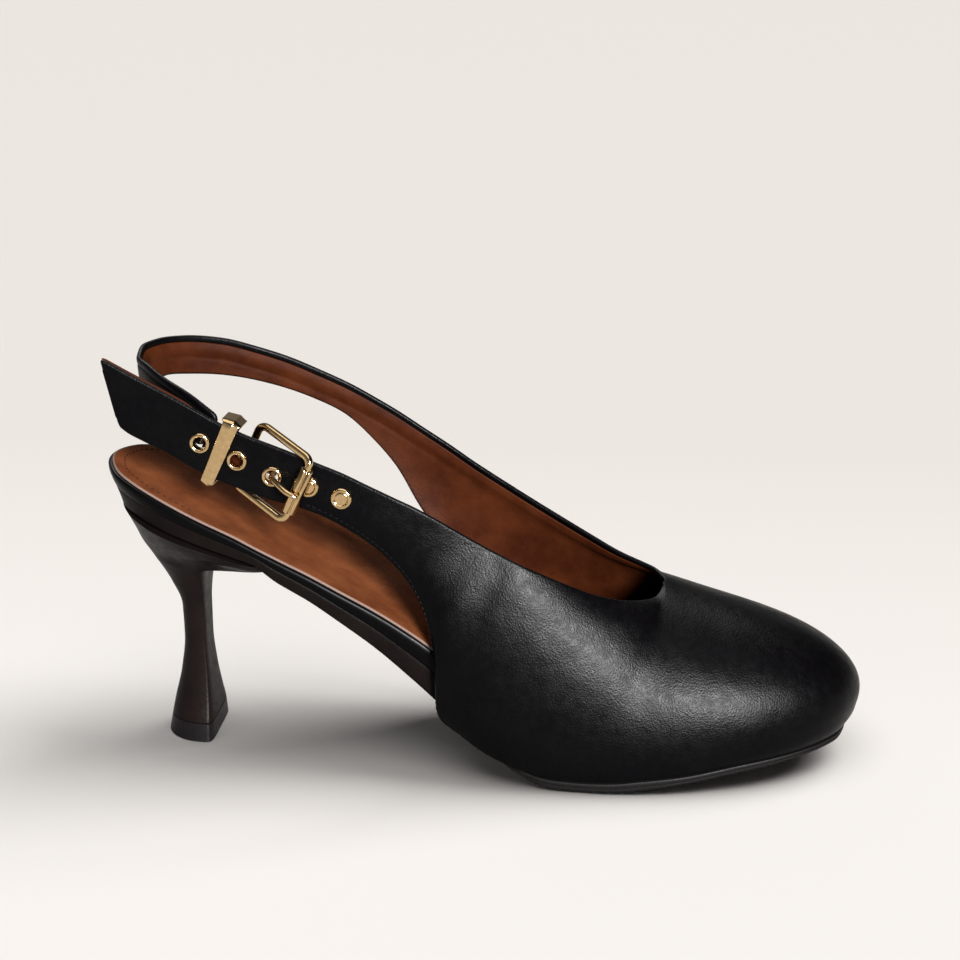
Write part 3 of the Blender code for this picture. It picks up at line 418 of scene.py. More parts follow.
class Finish:
    """A material under construction: adds nodes and joins them in the order they're named."""

    def __init__(self, name, color, roughness, metallic=0.0):
        self.slot = bpy.data.materials.new(name)
        self.slot.use_nodes = True
        self.tree = self.slot.node_tree
        self.shader = self.tree.nodes["Principled BSDF"]
        self.put("Base Color", (*color, 1.0))
        self.put("Roughness", roughness)
        self.put("Metallic", metallic)
        self.slot.diffuse_color = (*color, 1.0)
        self.place = self.tree.nodes.new("ShaderNodeTexCoord").outputs["Object"]
        self.normal = None

    def put(self, socket, value):
        """A number or colour that is the same all over, on the shader's own socket."""
        self.shader.inputs[socket].default_value = value

    def drive(self, socket, value):
        """A pattern joined to the shader's socket."""
        self.tree.links.new(value, self.shader.inputs[socket])

    def add(self, kind, joined, source, **numbers):
        """New node with a source joined to one socket, and numbers on the others."""
        node = self.tree.nodes.new("ShaderNode" + kind)
        self.tree.links.new(source, node.inputs[joined])
        for socket, number in numbers.items():
            node.inputs[socket.replace("_", " ")].default_value = number
        return node

    def noise(self, scale, detail):
        """Cloudy pattern; scale is how many clouds there are to a metre."""
        node = self.add("TexNoise", "Vector", self.place, Scale=scale, Detail=detail, Roughness=0.55)
        return node.outputs["Fac"]

    def cells(self, scale):
        """Pebbled pattern: distance to the middle of the nearest cell."""
        return self.add("TexVoronoi", "Vector", self.place, Scale=scale).outputs["Distance"]

    def between(self, value, low, high, to_low, to_high):
        """Maps a pattern's range to another range."""
        node = self.add("MapRange", "Value", value,
                        From_Min=low, From_Max=high, To_Min=to_low, To_Max=to_high)
        return node.outputs["Result"]

    def mix(self, share, first, second):
        """Colour that goes from the first to the second with a pattern.

        A Mix node has sockets for each kind of value: 6, 7 and 2 are those of colours.
        """
        node = self.tree.nodes.new("ShaderNodeMix")
        node.data_type = "RGBA"
        self.tree.links.new(share, node.inputs["Factor"])
        node.inputs[6].default_value, node.inputs[7].default_value = (*first, 1.0), (*second, 1.0)
        return node.outputs[2]

    def bump(self, value, deep, strength=1.0):
        """Relief: adds a pattern, deep metres from its lowest to its highest."""
        node = self.add("Bump", "Height", value, Distance=deep, Strength=strength)
        if self.normal is not None:
            self.tree.links.new(self.normal, node.inputs["Normal"])
        self.normal = node.outputs["Normal"]
        self.drive("Normal", self.normal)

    def clouded(self, pattern, low, high, dark, light):
        """Base colour that drifts between two close shades with a pattern."""
        self.drive("Base Color", self.mix(self.between(pattern, low, high, 0.0, 1.0), dark, light))


def leather(name, dark, light, gloss, grain, waves, shine):
    """Finished leather: two close shades, pebbled grain, pores and slow waves of gloss.

    gloss is the roughness, grain the pebbles to a metre, waves the depth of the soft
    waves in metres, and shine how much it mirrors.
    """
    f = Finish(name, dark, gloss)
    f.clouded(f.noise(95.0, 4.0), 0.35, 0.70, dark, light)
    f.drive("Roughness", f.between(f.noise(420.0, 3.0), 0.3, 0.7, gloss - 0.05, gloss + 0.07))
    f.bump(f.noise(70.0, 2.0), waves)
    f.bump(f.cells(grain), 0.00005, 0.85)
    f.bump(f.noise(grain * 2.2, 2.0), 0.00004, 0.8)
    f.put("Specular IOR Level", shine)
    return f.slot


BLACK = leather("black_calf", (0.0003, 0.00025, 0.0004), (0.0006, 0.0005, 0.0006),
                gloss=0.33, grain=1850.0, waves=0.00035, shine=0.050)
# the band is lighter and browner than the black roll: painted reflection of the pale warm floor below it
BAND_PAINTED_REFLECTION = leather("sole_band_painted_reflection", (0.0017, 0.0011, 0.0009), (0.0024, 0.0016, 0.0013),
                    gloss=0.46, grain=1500.0, waves=0.00010, shine=0.035)
COVER = leather("heel_cover_leather", (0.0026, 0.0017, 0.0015), (0.0040, 0.0026, 0.0022),
                gloss=0.40, grain=1500.0, waves=0.00010, shine=0.038)
# the lining's cognac is about four times darker than the insole's: painted shade for the inside of the
# upper, which the front lamp lights
LINING_PAINTED_SHADE = leather("cognac_lining_painted_shade", (0.0135, 0.0029, 0.0009), (0.0260, 0.0064, 0.0019),
                 gloss=0.50, grain=1500.0, waves=0.00030, shine=0.030)
SOCK_LEATHER = leather("cognac_insole", (0.050, 0.0135, 0.0043), (0.084, 0.0255, 0.0088),
                       gloss=0.50, grain=1300.0, waves=0.00025, shine=0.035)
print("leathers:", BLACK.name, BAND_PAINTED_REFLECTION.name, COVER.name, LINING_PAINTED_SHADE.name, SOCK_LEATHER.name)

# %% [markdown]
# The other finishes are simpler: a fine cloud of two shades with a shallow relief. Thread
# and the raw edge of the insole are matt and rough. Gold plate is the same recipe with
# all its colour in the mirror, smooth enough to show the pale floor and the dark air.

# %% More finishes


def plain(name, dark, light, gloss, scale, deep, metallic=0.0, shine=0.08):
    """Simple matter: two shades in a fine cloud and a shallow relief of the same scale.

    scale is the clouds to a metre, and deep the depth of their relief in metres.
    """
    f = Finish(name, dark, gloss, metallic)
    cloud = f.noise(scale, 4.0)
    f.clouded(cloud, 0.3, 0.7, dark, light)
    f.drive("Roughness", f.between(f.noise(scale * 0.6, 3.0), 0.3, 0.7, gloss * 0.85, gloss * 1.15))
    f.bump(cloud, deep)
    f.put("Specular IOR Level", shine)
    return f.slot


ROLL = plain("black_roll", (0.0003, 0.0003, 0.0004), (0.0006, 0.0005, 0.0006),
             gloss=0.33, scale=1700.0, deep=0.00001, shine=0.045)
RAW_EDGE = plain("raw_edge", (0.070, 0.046, 0.037), (0.102, 0.071, 0.058),
                 gloss=0.70, scale=2400.0, deep=0.00005)
RUBBER = plain("tread_rubber", (0.0016, 0.0014, 0.0014), (0.0030, 0.0027, 0.0026),
               gloss=0.52, scale=1800.0, deep=0.00005)
TIP = plain("top_piece_rubber", (0.0020, 0.0017, 0.0018), (0.0036, 0.0031, 0.0031),
            gloss=0.40, scale=1500.0, deep=0.00004)
BLACK_THREAD = plain("black_thread", (0.0005, 0.0005, 0.0009), (0.0014, 0.0014, 0.0021),
                     gloss=0.48, scale=6000.0, deep=0.00004)
BROWN_THREAD = plain("brown_thread", (0.0110, 0.0034, 0.0016), (0.0200, 0.0066, 0.0030),
                     gloss=0.60, scale=6000.0, deep=0.00004)
GOLD = plain("gold_plate", (0.48, 0.325, 0.155), (0.60, 0.425, 0.22),
             gloss=0.12, scale=900.0, deep=0.000012, metallic=1.0, shine=0.5)
print("other finishes:", RAW_EDGE.name, RUBBER.name, TIP.name, GOLD.name)

# %% [markdown]
# ## The leather upper
# A real upper is cut flat, folded over at its edges and pulled over the last. It
# could be sculpted, but a skin through the table's sections keeps the true shape. The
# skin is a grid of rows along the shoe and shares up each section, denser towards the
# edges. Mirrored rows meet on the ridge of the vamp and are welded there. Two sheets
# of it, the outer face and the inner face, meet at half the wall along every free
# edge, so the edge is rolled as a folded edge is, round the throat too.

# %% The skin's grid
EDGE_STEPS = np.array([0.0, 0.09, 0.22, 0.40, 0.62, 0.90, 1.25, 1.70, 2.10, 2.45, 2.80]) * MM


def crowded(start, end, step, small_start=(), small_end=()):
    """Even positions from start to end, with extra ones close to either end."""
    count = max(2, int(round(abs(end - start) / step)) + 1)
    even = np.linspace(start, end, count)
    way = np.sign(end - start)
    extra = [start + way * np.asarray(small_start), end - way * np.asarray(small_end), even]
    return np.unique(np.round(np.concatenate(extra), 6))


# the sections' tops leave the throat with the square of the rows, 21.7 mm at one row
THROAT_RUN = 0.0217
CLOSE = np.sqrt(EDGE_STEPS[1:] / THROAT_RUN)
behind_toe = crowded(0.0, 4.0, 0.066, (), CLOSE)
near_rows = crowded(0.0, 22.0, 0.11, (0.018, 0.045, 0.08, 0.125, 0.19, 0.27), CLOSE)
far_rows = crowded(30.0, float(END_ROW), 0.11, CLOSE, (0.04, 0.10, 0.18, 0.29, 0.42, 0.58, 0.78))
ROWS = np.concatenate(
    [near_rows[:-1], TOE_ROW - behind_toe[::-1], TOE_ROW + behind_toe[1:], far_rows[1:]])
NUDGE = 0.01


def speed_at(row, share):
    """Metres of section for each unit of share near one of its ends."""
    step = upper_point(row, share + NUDGE) - upper_point(row, share - NUDGE)
    return np.linalg.norm(step, axis=-1) / (2 * NUDGE)


def share_grid(rows, low_inset, top_inset, columns=30):
    """Shares for each row: set steps from both edges, even steps between them."""
    low_speed, top_speed = speed_at(rows, 0.01), speed_at(rows, 0.99)
    low = (low_inset[:, None] + EDGE_STEPS) / low_speed[:, None]
    top = 1 - (top_inset[:, None] + EDGE_STEPS[::-1]) / top_speed[:, None]
    t = np.linspace(0, 1, columns)[None, 1:-1]
    return np.concatenate([low, low[:, -1:] * (1 - t) + top[:, :1] * t, top], axis=1)


TAIL_RADIUS, END_RADIUS = 1.6 * MM, 3.0 * MM


def end_inset(rows):
    """How far both edges draw in at the strap ends, so that their corners are round."""
    step = 0.05
    tail = np.linalg.norm(upper_point(step, 0.5) - upper_point(0.0, 0.5)) / step
    end = np.linalg.norm(upper_point(END_ROW, 0.5) - upper_point(END_ROW - step, 0.5)) / step
    return rolled(rows * tail, TAIL_RADIUS) + rolled((END_ROW - rows) * end, END_RADIUS)


# a point further out than this lies on the shoe's side
BESIDE = 0.012


def skin(rows, low_inset, top_inset, seam):
    """Open skin, joined on the ridge within seam rows of the toe.

    Gives its points, unit normals outwards, quads, edges by kind and each point's row.
    """
    shares = share_grid(rows, low_inset, top_inset)
    flat = upper_point(rows[:, None], shares)
    n, m = shares.shape
    index = np.arange(n * m).reshape(n, m)
    joined = index.copy()
    far = (rows > TOE_ROW) & (np.abs(rows - TOE_ROW) <= seam + 1e-6)
    mirror = np.searchsorted(rows, 2 * TOE_ROW - rows[far] - 1e-5)
    joined[far, -1] = index[mirror, -1]
    faces = joined.reshape(-1)[grid_faces(n, m)][:, ::-1]
    points = flat.reshape(-1, 3)
    normals = np.zeros_like(points)
    a, b, c, d = (points[faces[:, k]] for k in range(4))
    face_normal = np.cross(c - a, d - b)
    for k in range(4):
        np.add.at(normals, faces[:, k], face_normal)
    normals = unit(normals)
    side = np.abs(points[:, 1]) > BESIDE
    if (normals[side, 1] * points[side, 1]).sum() < 0:
        normals = -normals
    open_top = np.abs(rows - TOE_ROW) >= seam - 1e-6
    near_top = index[open_top & (rows < TOE_ROW), -1]
    far_top = index[open_top & (rows > TOE_ROW), -1]
    edges = {
        "low": points[index[:, 0]],
        "top": points[np.concatenate([near_top, far_top])],
        "tail": points[index[0]],
        "end": points[index[-1]],
    }
    used = np.unique(faces)
    renumber = np.full(n * m, -1)
    renumber[used] = np.arange(len(used))
    return points[used], normals[used], renumber[faces], edges, np.repeat(rows, m)[used]


def distances(points, edges):
    """Distances to the low edge, to the top edge and to the nearest of all four."""
    low, top, tail, end = (distance_to(points, edges[kind]) for kind in ("low", "top", "tail", "end"))
    return low, top, np.minimum(np.minimum(low, top), np.minimum(tail, end))


def two_sheets(points, normals, faces, front, back):
    """Closed piece from a skin sunk to two depths, joined along its free edges."""
    sides = np.concatenate([faces[:, [k, (k + 1) % 4]] for k in range(4)])
    order = np.sort(sides, axis=1)
    _, first, count = np.unique(order, axis=0, return_index=True, return_counts=True)
    rim = sides[first[count == 1]]
    n = len(points)
    wall = np.stack([rim[:, 1], rim[:, 0], rim[:, 0] + n, rim[:, 1] + n], -1)
    sheets = [points - normals * depth[:, None] for depth in (front, back)]
    return np.concatenate(sheets), np.concatenate([faces, faces[:, ::-1] + n, wall])


corner = end_inset(ROWS)
leather_skin = skin(ROWS, corner, corner, FAN)
print("skin of the upper:", len(leather_skin[0]), "points")

# %% [markdown]
# Wear and lasting leave soft wrinkles in the quarter, where the strap pulls. They're
# listed in a short table: where the trough lies on the side of the shoe, its
# heading, its reach and its depth. Each is a bell-shaped dent, so it fades out.

# %% Soft creases
# side, x, z, heading in degrees, half length, half width, depth, all lengths in mm
CREASES = (
    (-1,  92.0, 57.0,  62.0, 13.0, 3.6,  0.13),
    (-1,  99.0, 52.0,  50.0, 15.0, 4.0,  0.12),
    (-1, 107.0, 47.0,  40.0, 17.0, 4.4,  0.09),
    (-1,  88.0, 47.0,  70.0,  9.0, 3.0,  0.10),
    (-1,  95.0, 43.0,  20.0,  8.0, 2.8, -0.08),
    (-1, 104.0, 57.0, -24.0, 10.0, 3.4, -0.10),
    (-1, 119.0, 40.0,  28.0, 14.0, 4.4,  0.07),
    (-1,  70.0, 78.0, -22.0, 12.0, 3.4,  0.10),
    ( 1,  88.0, 55.0,  60.0, 12.0, 3.8,  0.13),
    ( 1, 101.0, 50.0,  46.0, 15.0, 4.2,  0.10),
    ( 1,  76.0, 74.0, -30.0, 13.0, 3.6,  0.10),
)


def crease_depth(points):
    """Sum of bells: each falls off with the square of the way along and across it."""
    total = np.zeros(len(points))
    for side, x, z, heading, long, wide, deep in CREASES:
        turn = math.radians(heading)
        dx, dz = points[:, 0] / MM - x, points[:, 2] / MM - z
        along = dx * math.cos(turn) + dz * math.sin(turn)
        across = dz * math.cos(turn) - dx * math.sin(turn)
        this_side = smooth(points[:, 1] * side / BESIDE)
        total += this_side * deep * MM * np.exp(-(along / long) ** 2 - (across / wide) ** 2)
    return total


# %% [markdown]
# The shell is the skin twice, sunk to two depths. Both roll towards the wall's middle at
# a free edge. The outer sheet also has a groove along the stitches of each quarter, and
# a pressed line round the padded strap at the heel. Below the black band the leather is
# pared thinner from inside, which makes room for the lining.

# %% Leather shell
FOLD = 0.74 * MM
BAND = 1.9 * MM
STITCH_AWAY, GROOVE_DEEP, GROOVE_WIDE = 1.75 * MM, 0.14 * MM, 0.34 * MM
LINE_AWAY, LINE_DEEP, LINE_WIDE = 2.1 * MM, 0.20 * MM, 0.32 * MM
THINNED = 0.55 * MM


def between_rows(row, first, fade_in, last, fade_out):
    """One between two rows, fading to nothing at both."""
    return smooth((row - first) / fade_in) * smooth((last - row) / fade_out)


points, normals, faces, edges, row_of = leather_skin
away_low, away_top, away = distances(points, edges)
fold = rolled(away, FOLD)
outer_depth = fold + crease_depth(points) * smooth(away / (4 * MM))
padded_end = smooth((row_of - 45.5) / 2.0)
outer_depth += padded_end * LINE_DEEP * bell(away - LINE_AWAY, LINE_WIDE)
quarter_edge = between_rows(row_of, 8.2, 0.6, 16.9, 0.5) + between_rows(row_of, 35.4, 0.5, 41.5, 0.6)
outer_depth += quarter_edge * GROOVE_DEEP * bell(away_low - STITCH_AWAY, GROOVE_WIDE)
turned_in = smooth((away_top - BAND) / (0.35 * MM)) * smooth((away_low - 0.9 * MM) / (0.3 * MM))
inner_depth = 2 * FOLD - fold - turned_in * THINNED
shell = two_sheets(points, normals, faces, outer_depth, inner_depth)
upper_leather = piece("upper_leather", *shell, BLACK, "black_leather")

# %% [markdown]
# ## The lining
# Inside, a thin cognac leather lies against the upper and stops a little short of the
# folded top edge, so a black band shows above it. It's the same skin again, drawn in
# from the edges and set deeper. Near its top it swells over a reinforcing tape, which
# gives the soft roll and the line under it that run along the whole top line.

# %% Lining
# the lining stops a band's width below the edge, and meets the ridge as far from the throat
throat = ridge_point(np.array(float(FAN)))
from_throat = np.linalg.norm(ridge_point(np.minimum(np.abs(ROWS - TOE_ROW), FAN)) - throat, axis=-1)
ahead = np.clip(from_throat / BAND, 0.0, 1.0)
lining_top = BAND * np.sqrt(1 - ahead ** 2)
# towards the strap's tail it reaches out to the edge, where both leathers are cut together
raw_tail = smooth((4.2 - ROWS) / 1.6)
lining_top = lining_top * (1 - raw_tail) - 0.35 * MM * raw_tail
lining_low = np.full_like(ROWS, 0.45 * MM)
keep = (ROWS >= 0.04) & (ROWS <= END_ROW - 0.45)
lining_rows = ROWS[keep]
points, normals, faces, edges, row_of = skin(
    lining_rows, (lining_low + corner)[keep], (lining_top + corner)[keep],
    np.abs(lining_rows - TOE_ROW)[ahead[keep] >= 1.0].max())
_, away_top, away = distances(points, edges)

# depth of its two faces; then the roll and the line under it: way from the edge, depth, width
LINING_BACK, LINING_FACE = 1.00 * MM, 1.62 * MM
ROLL_AWAY, ROLL_DEEP, ROLL_WIDE = 2.0 * MM, 0.42 * MM, 1.7 * MM
UNDER_AWAY, UNDER_DEEP, UNDER_WIDE = 4.6 * MM, 0.16 * MM, 0.7 * MM
from_strap = smooth((row_of - 6) / 6)
roll = bell(away_top - ROLL_AWAY, ROLL_WIDE) * from_strap
line = bell(away_top - UNDER_AWAY, UNDER_WIDE) * from_strap
soft = rolled(away, 0.30 * MM)
face_depth = LINING_FACE - soft + ROLL_DEEP * roll - UNDER_DEEP * line
sheets = two_sheets(points, normals, faces, LINING_BACK + soft, face_depth)
# the lining's darker cognac is painted shade
upper_lining = piece("upper_lining", *sheets, LINING_PAINTED_SHADE, "tan_lining")
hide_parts("upper")

# %% [markdown]
# ## The insole
# The foot rests on a thin cognac leather glued over a padded board. Its surface is
# worked out in two directions: round the plan outline and from the edge inwards to a
# middle line. It dips a little towards the middle, since the padding gives there. The
# cut edge was never dyed, so a thin pale pink line runs round it: a bead of its own
# along the back part of the foot, where the edge shows.

# %% Outlines and wrapped layers
SPINE_FRONT = 0.79 * FOOT_LENGTH


def outline(inner, fine=8):
    """Closed plan outline with a middle-line point for each of its points."""
    near, far = (1, 2) if inner else (3, 4)
    back = OUTLINES[:, 5] if inner else 0.0
    near_side = np.stack([OUTLINES[:, 0] - back, OUTLINES[:, near]], -1)
    far_side = np.stack([OUTLINES[:, 0] - back, OUTLINES[:, far]], -1)
    last = len(OUTLINES) - 1
    around = np.concatenate([far_side[1:2], near_side, far_side[last - 1::-1], near_side[1:2]])
    edge = steady(around, np.arange(0, 2 * last, 1 / fine) + 1) * [FOOT_LENGTH, BALL_HALF]
    spine = (edge + edge[(len(edge) - np.arange(len(edge))) % len(edge)]) / 2
    spine[:, 0] = np.clip(spine[:, 0], 0.0, SPINE_FRONT)
    middle = (spine[:, 0] <= 0.0) | (spine[:, 0] >= SPINE_FRONT)
    spine[middle, 1] = np.where(spine[middle, 0] <= 0.0, 0.0, RIDGE_Y)
    return edge, spine


def outward(edge):
    """Unit plan normals of a closed outline, away from its middle."""
    run = unit(np.roll(edge, -1, 0) - np.roll(edge, 1, 0))
    out = np.stack([run[:, 1], -run[:, 0]], -1)
    return out * np.sign((out * (edge - edge.mean(0))).sum(1).mean())


INWARDS = np.array([0.05, 0.13, 0.24, 0.38, 0.55, 0.75, 1.0])


def wrapped(edge, spine, top, bottom, profile):
    """Closed layer: a profile of (out in mm, way down) round an outline, and both faces.

    top and bottom give heights from x and the way inwards; way down mixes the two.
    """
    out = outward(edge)
    plans = [edge + out * np.reshape(np.asarray(away) * MM, (-1, 1)) for away, _ in profile]
    rings = []
    for share in INWARDS[::-1]:
        plan = plans[0] + (spine - plans[0]) * share
        rings.append(np.column_stack([plan, top(plan[:, 0], share)]))
    for plan, (_, down) in zip(plans, profile):
        high, low = top(plan[:, 0], 0.0), bottom(plan[:, 0], 0.0)
        rings.append(np.column_stack([plan, high + (low - high) * down]))
    for share in INWARDS:
        plan = plans[-1] + (spine - plans[-1]) * share
        rings.append(np.column_stack([plan, bottom(plan[:, 0], share)]))
    rings = np.array(rings)
    return rings.reshape(-1, 3), grid_faces(len(rings), len(edge), closed=True)


SOCK, DIP = 0.8 * MM, 0.35 * MM
insole_edge, insole_spine = outline(True)


def insole_top(x, share):
    """The foot's level, dipped up to 0.35 mm towards the middle line."""
    return height(INSOLE_TOP, x) - DIP * smooth(share * 2.2)


# out in mm, way down
insole = piece("insole_leather", *wrapped(
    insole_edge, insole_spine, insole_top, lambda x, share: height(INSOLE_TOP, x) - SOCK,
    ((-0.75, 0.0), (-0.50, 0.03), (-0.38, 0.14), (-0.34, 0.5), (-0.34, 1.0), (-1.2, 1.0))),
    SOCK_LEATHER, "tan_lining")
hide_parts("insole")

# %% Beads along a path


def tube(path, radius, sides, across=(0.0, 0.0, 1.0)):
    """Round bar along a path: rings of radius times (cos, sin) in two axes square to it.

    across is a direction that's never along the path.
    """
    run = unit(np.gradient(path, axis=0))
    first = unit(np.cross(run, across))
    second = np.cross(first, run)
    turn = full_turn(sides)
    radius = np.broadcast_to(radius, (len(path),))[:, None, None]
    return lofted(path[:, None] + radius * (np.cos(turn)[None, :, None] * first[:, None]
                                            + np.sin(turn)[None, :, None] * second[:, None]))


BEAD_RADIUS, BEAD_OUT, BEAD_UNDER = 0.38 * MM, -0.22 * MM, 0.42 * MM
visible = insole_edge[:, 0] < 0.45 * FOOT_LENGTH
plan = (insole_edge + outward(insole_edge) * BEAD_OUT)[visible]
path = np.column_stack([plan, height(INSOLE_TOP, plan[:, 0]) - BEAD_UNDER])
from_end = np.minimum(np.arange(len(path)), np.arange(len(path))[::-1])
bead = tube(path, BEAD_RADIUS * np.clip(0.3 + from_end / 3.0, 0, 1), 10)
piece("insole_cut_edge", *bead, RAW_EDGE, "tan_lining")

# %% [markdown]
# ## The footbed's leather rim, the tread
# Under the insole a board is wrapped in the same black leather. The wrap turns over the
# top edge in a tight roll that shines, and a flat, duller band lies below it. They could
# be one piece, but the crease between them is crisper, and each has a finish of its own,
# when each is a profile carried round the outline. The thin tread is a third profile,
# with the groove its edge shows at the toe.

# %% Rim and tread
tread_outline, tread_spine = outline(False)
THIN_TREAD = 0.85 * MM
# mm: the rim drawn in at the very back, the tread too, and the tread all over the heel
RIM_BACK, TREAD_BACK, TREAD_HEEL = 3.2, 3.0, 1.3
CREASE_AT = 0.46


def foot_share(x):
    """A place along the foot as a share of its length."""
    return np.asarray(x) / FOOT_LENGTH


def over_heel(edge):
    """One over the heel, fading to nothing in front of its breast."""
    return smooth((0.15 - foot_share(edge[:, 0])) / 0.05)


def round_back(edge):
    """Nothing from the middle of the heel forwards, one at the very back."""
    return np.clip(-foot_share(edge[:, 0]) / 0.09, 0.0, 1.0)


def forepart(x):
    """Nothing behind the quarters, one under the ball: where the tread takes full height."""
    return smooth((foot_share(x) - 0.352) / 0.05)


def tread_line(x):
    """Top of the tread: a thin layer under the waist, its full height at the forepart."""
    low, high = height(TREAD_BOTTOM, x), height(TREAD_TOP, x)
    return low + np.maximum((high - low) * forepart(x), THIN_TREAD)


behind = np.clip((0.36 - foot_share(insole_edge[:, 0])) / 0.05, 0.0, 1.0)
at_back = round_back(insole_edge)
rim_edge = insole_edge + outward(insole_edge) * (behind * 0.5 + at_back * 0.8)[:, None] * MM
in_heel = over_heel(rim_edge)
inside_upper = smooth((foot_share(rim_edge[:, 0]) - 0.36) / 0.03)


def rim_top(x, share):
    """Level the insole lies on."""
    return height(INSOLE_TOP, x) - SOCK - 0.05 * MM


def rim_low(x, share):
    """Level just over the tread."""
    return tread_line(x) + 0.06 * MM


def rim_crease(x, share):
    """Level where the roll ends and the band starts, a set share of the way down."""
    return rim_top(x, share) * (1 - CREASE_AT) + rim_low(x, share) * CREASE_AT


def rim_profile(rows):
    """A profile drawn in under the quarters, and its lower part at the back of the heel."""
    return [(away - 0.9 * inside_upper + in_heel * tuck - at_back * RIM_BACK * smooth(level / 1.1), down)
            for away, down, level, tuck in rows]


# out in mm, way down, its level from 0 to 1 over roll and band, out again over the heel
ROLL_ROWS = (
    (-1.30, 0.00, 0.00, 0.00), (-0.75, 0.01, 0.00, 0.00), (-0.36, 0.05, 0.02, 0.00),
    (-0.10, 0.12, 0.05, 0.00), (0.08, 0.22, 0.10, 0.00), (0.18, 0.34, 0.16, 0.00),
    (0.21, 0.47, 0.22, 0.00), (0.17, 0.60, 0.28, 0.00), (0.07, 0.74, 0.34, 0.06),
    (-0.08, 0.86, 0.40, 0.14), (-0.26, 0.95, 0.44, 0.26), (-0.55, 1.00, 0.46, 0.30),
    (-1.60, 1.00, 0.46, 0.00),
)
BAND_ROWS = (
    (-1.60, 0.00, 0.46, 0.00), (-0.42, 0.00, 0.46, 0.34), (-0.34, 0.04, 0.48, 0.28),
    (-0.31, 0.20, 0.56, 0.24), (-0.31, 0.50, 0.72, 0.20), (-0.34, 0.80, 0.88, 0.20),
    (-0.40, 0.95, 0.96, 0.20), (-0.62, 1.00, 1.00, 0.10), (-1.60, 1.00, 1.00, 0.00),
)
footbed_rim = piece("footbed_rim", *wrapped(
    rim_edge, insole_spine, rim_top, rim_crease, rim_profile(ROLL_ROWS)), ROLL, "black_leather")
# the band's browner finish is a painted reflection of the floor
footbed_band = piece("footbed_band", *wrapped(
    rim_edge, insole_spine, rim_crease, rim_low, rim_profile(BAND_ROWS)), BAND_PAINTED_REFLECTION, "black_leather")
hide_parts("footbed")

# out in mm, way down: square edges with the groove between them
TREAD_PROFILE = (
    (-1.40, 0.00), (-0.45, 0.00), (-0.16, 0.03), (-0.05, 0.10), (-0.02, 0.30), (-0.06, 0.40),
    (-0.26, 0.44), (-0.26, 0.50), (-0.06, 0.54), (-0.02, 0.66), (-0.05, 0.82), (-0.20, 0.94),
    (-0.50, 1.00), (-1.60, 1.00),
)


def tread_underside(x, share):
    """Underside of the sole, rolled up half a millimetre at the forepart's edge."""
    lift = 0.5 * MM * np.clip((foot_share(x) - 0.36) / 0.10, 0.0, 1.0)
    return height(TREAD_BOTTOM, x) + lift * (1 - share) ** 3


draw_in = over_heel(tread_outline) * TREAD_HEEL + round_back(tread_outline) * TREAD_BACK
tread_edge = tread_outline - outward(tread_outline) * draw_in[:, None] * MM
tread = piece("tread", *wrapped(
    tread_edge, tread_spine, lambda x, share: tread_line(x), tread_underside, TREAD_PROFILE),
    RUBBER, "black_rubber")
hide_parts("outsole")

# %% [markdown]
# ## The heel
# The heel is a moulded block covered in leather: round at the back, flat at the breast,
# waisted in the middle and flared at the ground. Each level is a half ellipse behind
# and a squarer curve in front, so the edge of the breast stays crisp. The top piece is
# a separate hard rubber pad; a hair of a gap over it is the seam that shows.

# %% Heel and top piece
# how square the breast's corners are, and the most that the far side's half width may be
BREAST_POWER, FAR_HALF = 0.36, 0.612


def heel_ring(level, sides=144):
    """Ring of the heel: half an ellipse behind, a squared half ellipse for the breast.

    The far side stays under the footbed, which is narrower there.
    """
    z, slope, back, front, half, rounded = steady(HEEL, level)
    turn = full_turn(sides)
    across, around = np.cos(turn), np.sin(turn)
    length = (front - back) * FOOT_LENGTH
    middle = back * FOOT_LENGTH + rounded * length
    breast = across > 0
    front_reach = (1 - rounded) * length * squared(across, BREAST_POWER)
    x = middle + np.where(breast, front_reach, rounded * length * across)
    side = np.where(breast, squared(around, BREAST_POWER), around)
    half = np.where(side > 0, np.minimum(half, FAR_HALF), half)
    return np.stack([x, side * half * BALL_HALF, z * SEAT_HEIGHT - slope * x], -1)


def shrunk(ring, by):
    """Ring drawn in towards its middle by a distance."""
    middle = ring.mean(0)
    away = ring - middle
    return middle + away * (1 - by / np.maximum(np.linalg.norm(away, axis=1, keepdims=True), 1e-9))


TIP_HEIGHT = 0.0055
TIP_LEVEL = TIP_HEIGHT / (HEEL[1][0] * SEAT_HEIGHT)
start = TIP_LEVEL + 0.045
rings = [shrunk(heel_ring(start), 0.25 * MM), heel_ring(start + 0.02)]
rings += [heel_ring(level) for level in np.linspace(1.06, len(HEEL) - 1, 96)]
heel = piece("heel_block", *lofted(rings), COVER, "heel_cover", sharp=30)
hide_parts("heel")
tip_levels = np.array([0.0, 0.035, 0.10, 0.4, 0.7, TIP_LEVEL - 0.05, TIP_LEVEL - 0.01])
rings = [heel_ring(level) for level in tip_levels]
rings[0], rings[-1] = shrunk(rings[0], 0.30 * MM), shrunk(rings[-1], 0.22 * MM)
top_piece = piece("heel_top_piece", *lofted(rings), TIP, "black_rubber", sharp=30)
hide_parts("heel_tip")

# %% [markdown]
# ## Stitching
# A row of lockstitches holds the folded edge of each quarter, and another closes the
# insole round the heel. Only the short threads between two needle holes show, so each
# stitch is one small capsule that lies in the groove the thread has pulled into the
# leather. The path is measured by length, and every stitch gets the same pitch.

# %% Stitches


